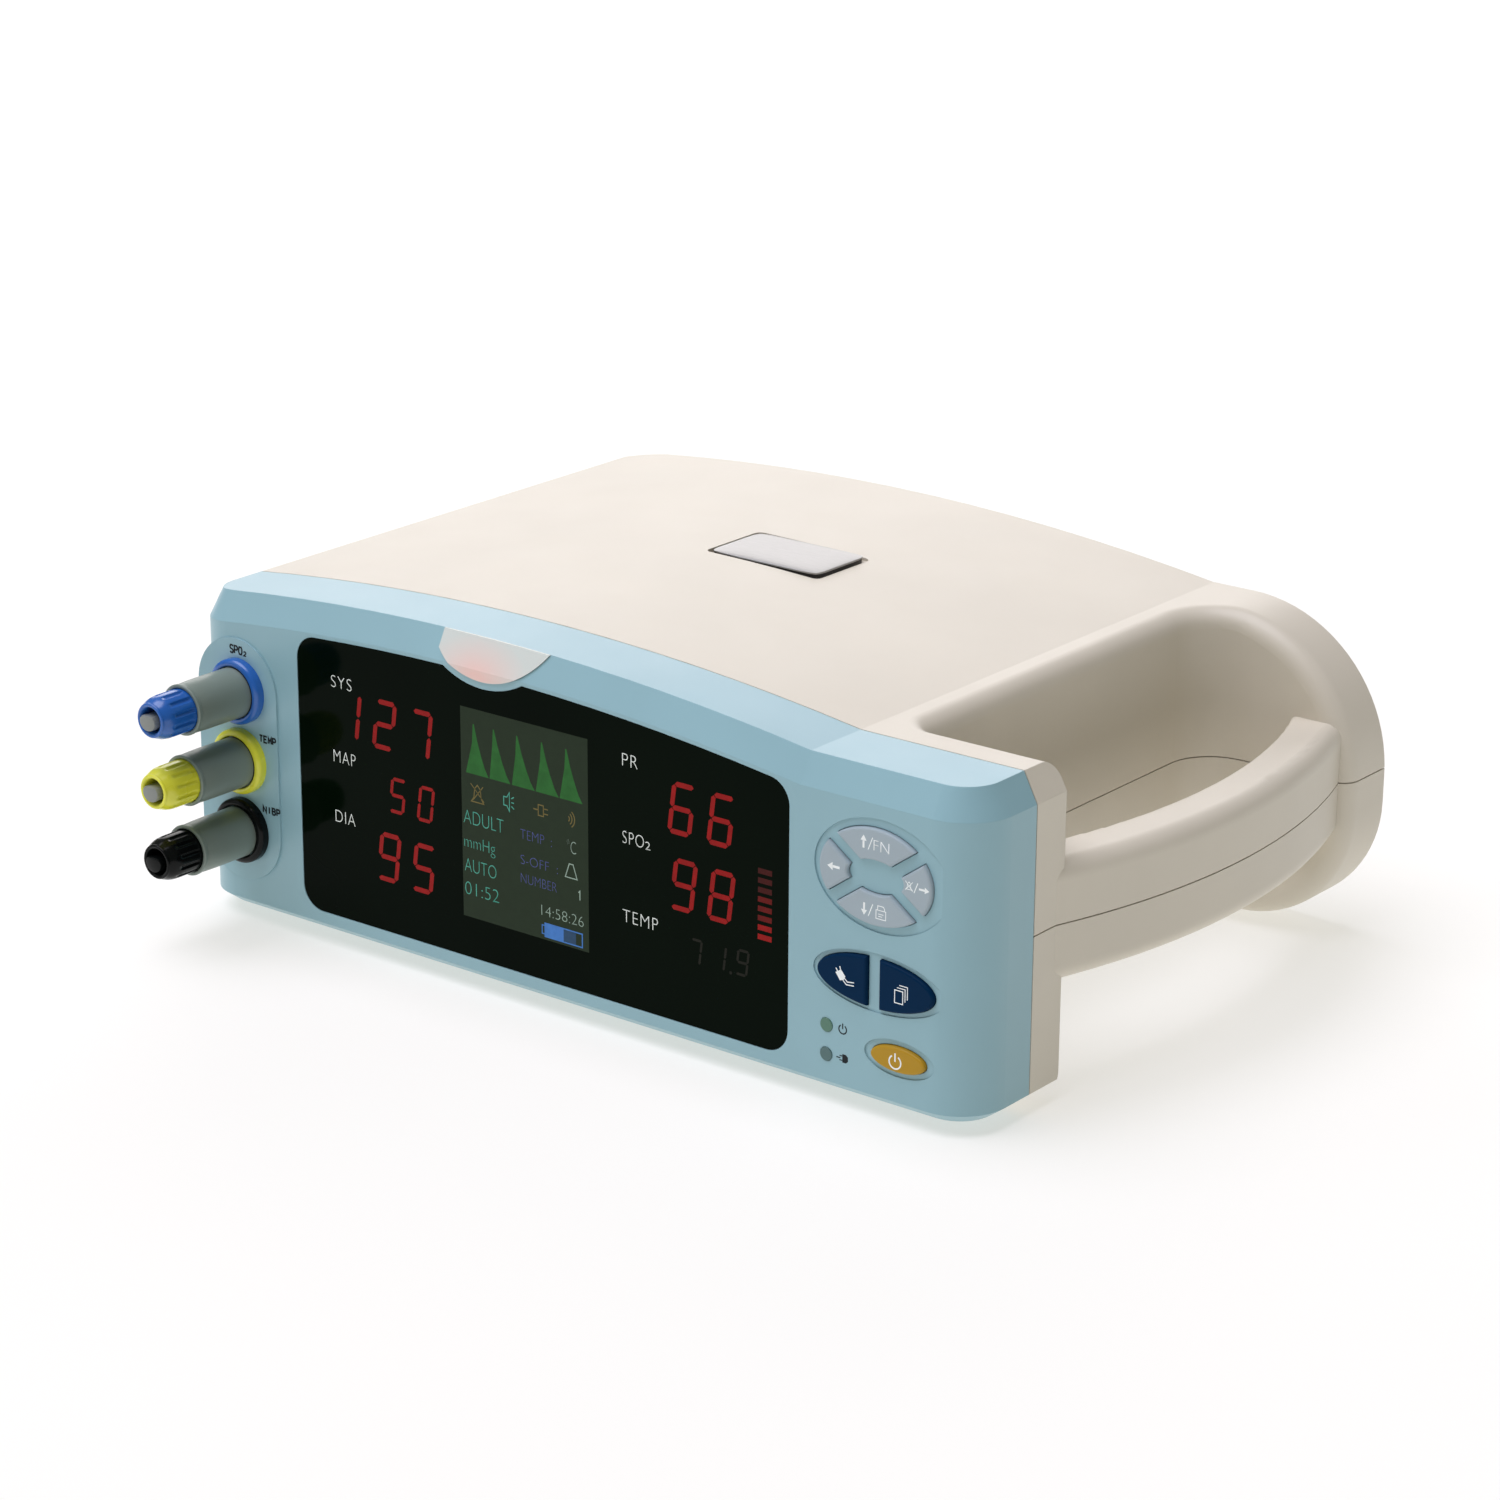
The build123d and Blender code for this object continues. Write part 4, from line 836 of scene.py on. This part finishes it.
def printer_sign(x, z):
    """Printer's case with two lines on it, and the sheet that comes out of its top."""
    return (ribbon([(x - 1.5, z - 1.6), (x + 1.5, z - 1.6), (x + 1.5, z + 0.7),
                    (x - 1.5, z + 0.7)], 0.22, True)
            + ribbon([(x - 1.0, z + 0.7), (x - 1.0, z + 1.85), (x + 0.7, z + 1.85),
                      (x + 1.1, z + 1.35), (x + 1.1, z + 0.7)], 0.22)
            + ribbon([(x - 0.8, z - 0.3), (x + 0.8, z - 0.3)], 0.2)
            + ribbon([(x - 0.8, z - 0.9), (x + 0.4, z - 0.9)], 0.2))


def cuff_sign(x, z):
    """Arm in a blood-pressure cuff: a filled cuff, two fastening lines and the forearm."""
    return ([[(x - 2.6, z + 0.6), (x - 0.9, z + 1.7), (x + 0.5, z + 0.1), (x, z - 0.9),
              (x - 1.2, z - 1.3)]]
            + ribbon([(x - 2.5, z + 1.8), (x - 1.9, z + 0.9)], 0.3)
            + ribbon([(x - 1.3, z + 2.5), (x - 1.0, z + 1.5)], 0.3)
            + ribbon([(x + 0.2, z - 0.4), (x + 1.1, z - 1.2), (x + 3.2, z - 0.9)], 0.28)
            + ribbon([(x - 0.3, z - 1.0), (x + 0.8, z - 2.0), (x + 3.2, z - 1.8)], 0.28))


def pages_sign(x, z):
    """A page in front, and the corners of two more behind it."""
    left, right, low, top = x - 1.35, x + 1.15, z - 1.8, z + 1.6
    pages = ribbon([(left, low), (right, low), (right, top), (left, top)], 0.26, True)
    for k in (1, 2):
        dx, dz = 0.7 * k, 0.75 * k
        pages += ribbon([(left + dx, top + dz), (right + dx, top + dz), (right + dx, low + dz)],
                        0.24)
    return pages


def power_sign(x, z, r, width):
    return (ribbon(circle_points(x, z, r, None, 122, 418, 28), width)
            + ribbon([(x, z + 0.1), (x, z + r * 1.35)], width))


def mains_sign(x, z):
    """Filled plug with two pins and a cord."""
    return ([[(x - 0.2, z - 1.15), (x + 0.9, z - 1.15), (x + 1.6, z - 0.6), (x + 1.6, z + 0.6),
              (x + 0.9, z + 1.15), (x - 0.2, z + 1.15)]]
            + ribbon([(x - 1.1, z + 0.6), (x - 0.25, z + 0.6)], 0.3)
            + ribbon([(x - 1.1, z - 0.6), (x - 0.25, z - 0.6)], 0.3)
            + ribbon([(x - 2.1, z), (x - 0.8, z)], 0.3))


def key_legend(name, marks, key):
    """White marks that ride on a key."""
    inked(name, marks, KEY_Y, "ink_white_painted_glow", key + "_body")


key_legend("legend_up_arrow", placed(UP_ARROW, 235.75, 70.95) + slash(237.85, 70.8), "up_key")
lettering("legend_fn", "FN", 241.25, 70.65, 2.75, KEY_Y, "ink_white_painted_glow", "up_key_body", 4.8,
          bold=-0.018)
key_legend("legend_left_arrow", placed(turned(UP_ARROW, 90), 226.55, 62.1, 1.12), "left_key")
key_legend("legend_right_arrow", placed(turned(UP_ARROW, -90), 254.4, 62.3, 0.9)
           + slash(251.95, 62.35, 2.8), "right_key")
key_legend("legend_mute", mute_sign(249.85, 62.4), "right_key")
key_legend("legend_down_arrow", placed(turned(UP_ARROW, 180), 236.2, 53.2, 0.97)
           + slash(238.2, 53.25), "down_key")
key_legend("legend_print", printer_sign(241.4, 53.1), "down_key")
key_legend("legend_cuff", cuff_sign(230.2, 33.4), "cuff_key")
key_legend("legend_pages", pages_sign(247.4, 32.3), "pages_key")
key_legend("legend_power", power_sign(246.5, 14.4, 1.8, 0.40), "power_key")
inked("sign_power", power_sign(229.4, 18.5, 1.2, 0.36), BEZEL_Y, "ink_dark", "monitor")
inked("sign_mains", mains_sign(229.6, 10.6), BEZEL_Y, "ink_dark", "monitor")


# ---- stage, light and camera --------------------------------------------------------
def stage_material():
    mat, tree, shader = new_material("backdrop_paper")
    tint = ramp(tree, noise(tree, 3, 2.0), [(0.3, (0.44, 0.44, 0.44)), (0.7, (0.46, 0.46, 0.46))])
    tree.links.new(tint, shader.inputs["Base Color"])
    shader.inputs["Emission Color"].default_value = (1.0, 0.985, 0.93, 1)
    shader.inputs["Emission Strength"].default_value = 0.55
    shader.inputs["Roughness"].default_value = 0.85
    shader.inputs["Specular IOR Level"].default_value = 0.1
    return mat


MATERIALS["stage"] = stage_material()
bm = bmesh.new()
bmesh.ops.create_grid(bm, x_segments=8, y_segments=8, size=12.0)
mesh = bpy.data.meshes.new("floor")
bm.to_mesh(mesh)
bm.free()
mesh.materials.append(MATERIALS["stage"])
floor = bpy.data.objects.new("floor", mesh)
bpy.context.scene.collection.objects.link(floor)


def area_light(name, place, target, size, power, colour=(1, 1, 1)):
    data = bpy.data.lights.new(name, "AREA")
    data.shape = "RECTANGLE"
    data.size, data.size_y = size
    data.energy = power
    data.color = colour
    lamp = bpy.data.objects.new(name, data)
    lamp.location = place
    lamp.rotation_euler = (Vector(target) - Vector(place)).to_track_quat("-Z", "Y").to_euler()
    bpy.context.scene.collection.objects.link(lamp)


area_light("light_rear_left", (-1.1, 1.4, 0.75), (0, 0, 0.08), (1.6, 1.0), 11.0, (1.0, 0.97, 0.97))
area_light("light_front_left", (-1.2, -1.3, 0.9), (0, 0, 0.05), (1.2, 1.0), 2.2, (0.90, 0.99, 1.0))

sky_data = bpy.data.lights.new("light_sky", "SUN")
sky_data.energy = 2.75
sky_data.angle = math.radians(55)
sky_data.color = (0.92, 0.90, 1.0)
sky = bpy.data.objects.new("light_sky", sky_data)
sky.rotation_euler = Vector((0.22, 0.20, -1.0)).to_track_quat("-Z", "Y").to_euler()
bpy.context.scene.collection.objects.link(sky)

world = bpy.data.worlds.new("studio")
world.use_nodes = True
world.node_tree.nodes["Background"].inputs["Color"].default_value = (1.0, 0.99, 0.86, 1)
world.node_tree.nodes["Background"].inputs["Strength"].default_value = 0.16
bpy.context.scene.world = world

AZIMUTH, ELEVATION, ROLL = math.radians(38.0), math.radians(19.0), math.radians(0.3)
CAMERA_PLACE = Vector((0.6738, -0.8658, 0.4338))
LENS_MM = 100.8

camera_data = bpy.data.cameras.new("camera")
camera_data.lens = LENS_MM
camera_data.sensor_width = 36.0
camera_data.clip_end = 50
camera = bpy.data.objects.new("camera", camera_data)
back = Vector((math.sin(AZIMUTH) * math.cos(ELEVATION), -math.cos(AZIMUTH) * math.cos(ELEVATION),
               math.sin(ELEVATION)))
right = Vector((math.cos(AZIMUTH), math.sin(AZIMUTH), 0))
up = back.cross(right)
rolled_right = right * math.cos(ROLL) + up * math.sin(ROLL)
rolled_up = up * math.cos(ROLL) - right * math.sin(ROLL)
turn = Matrix((rolled_right, rolled_up, back)).transposed().to_4x4()
camera.matrix_world = Matrix.Translation(CAMERA_PLACE) @ turn
bpy.context.scene.collection.objects.link(camera)
bpy.context.scene.camera = camera
bpy.context.scene.view_settings.view_transform = "Standard"
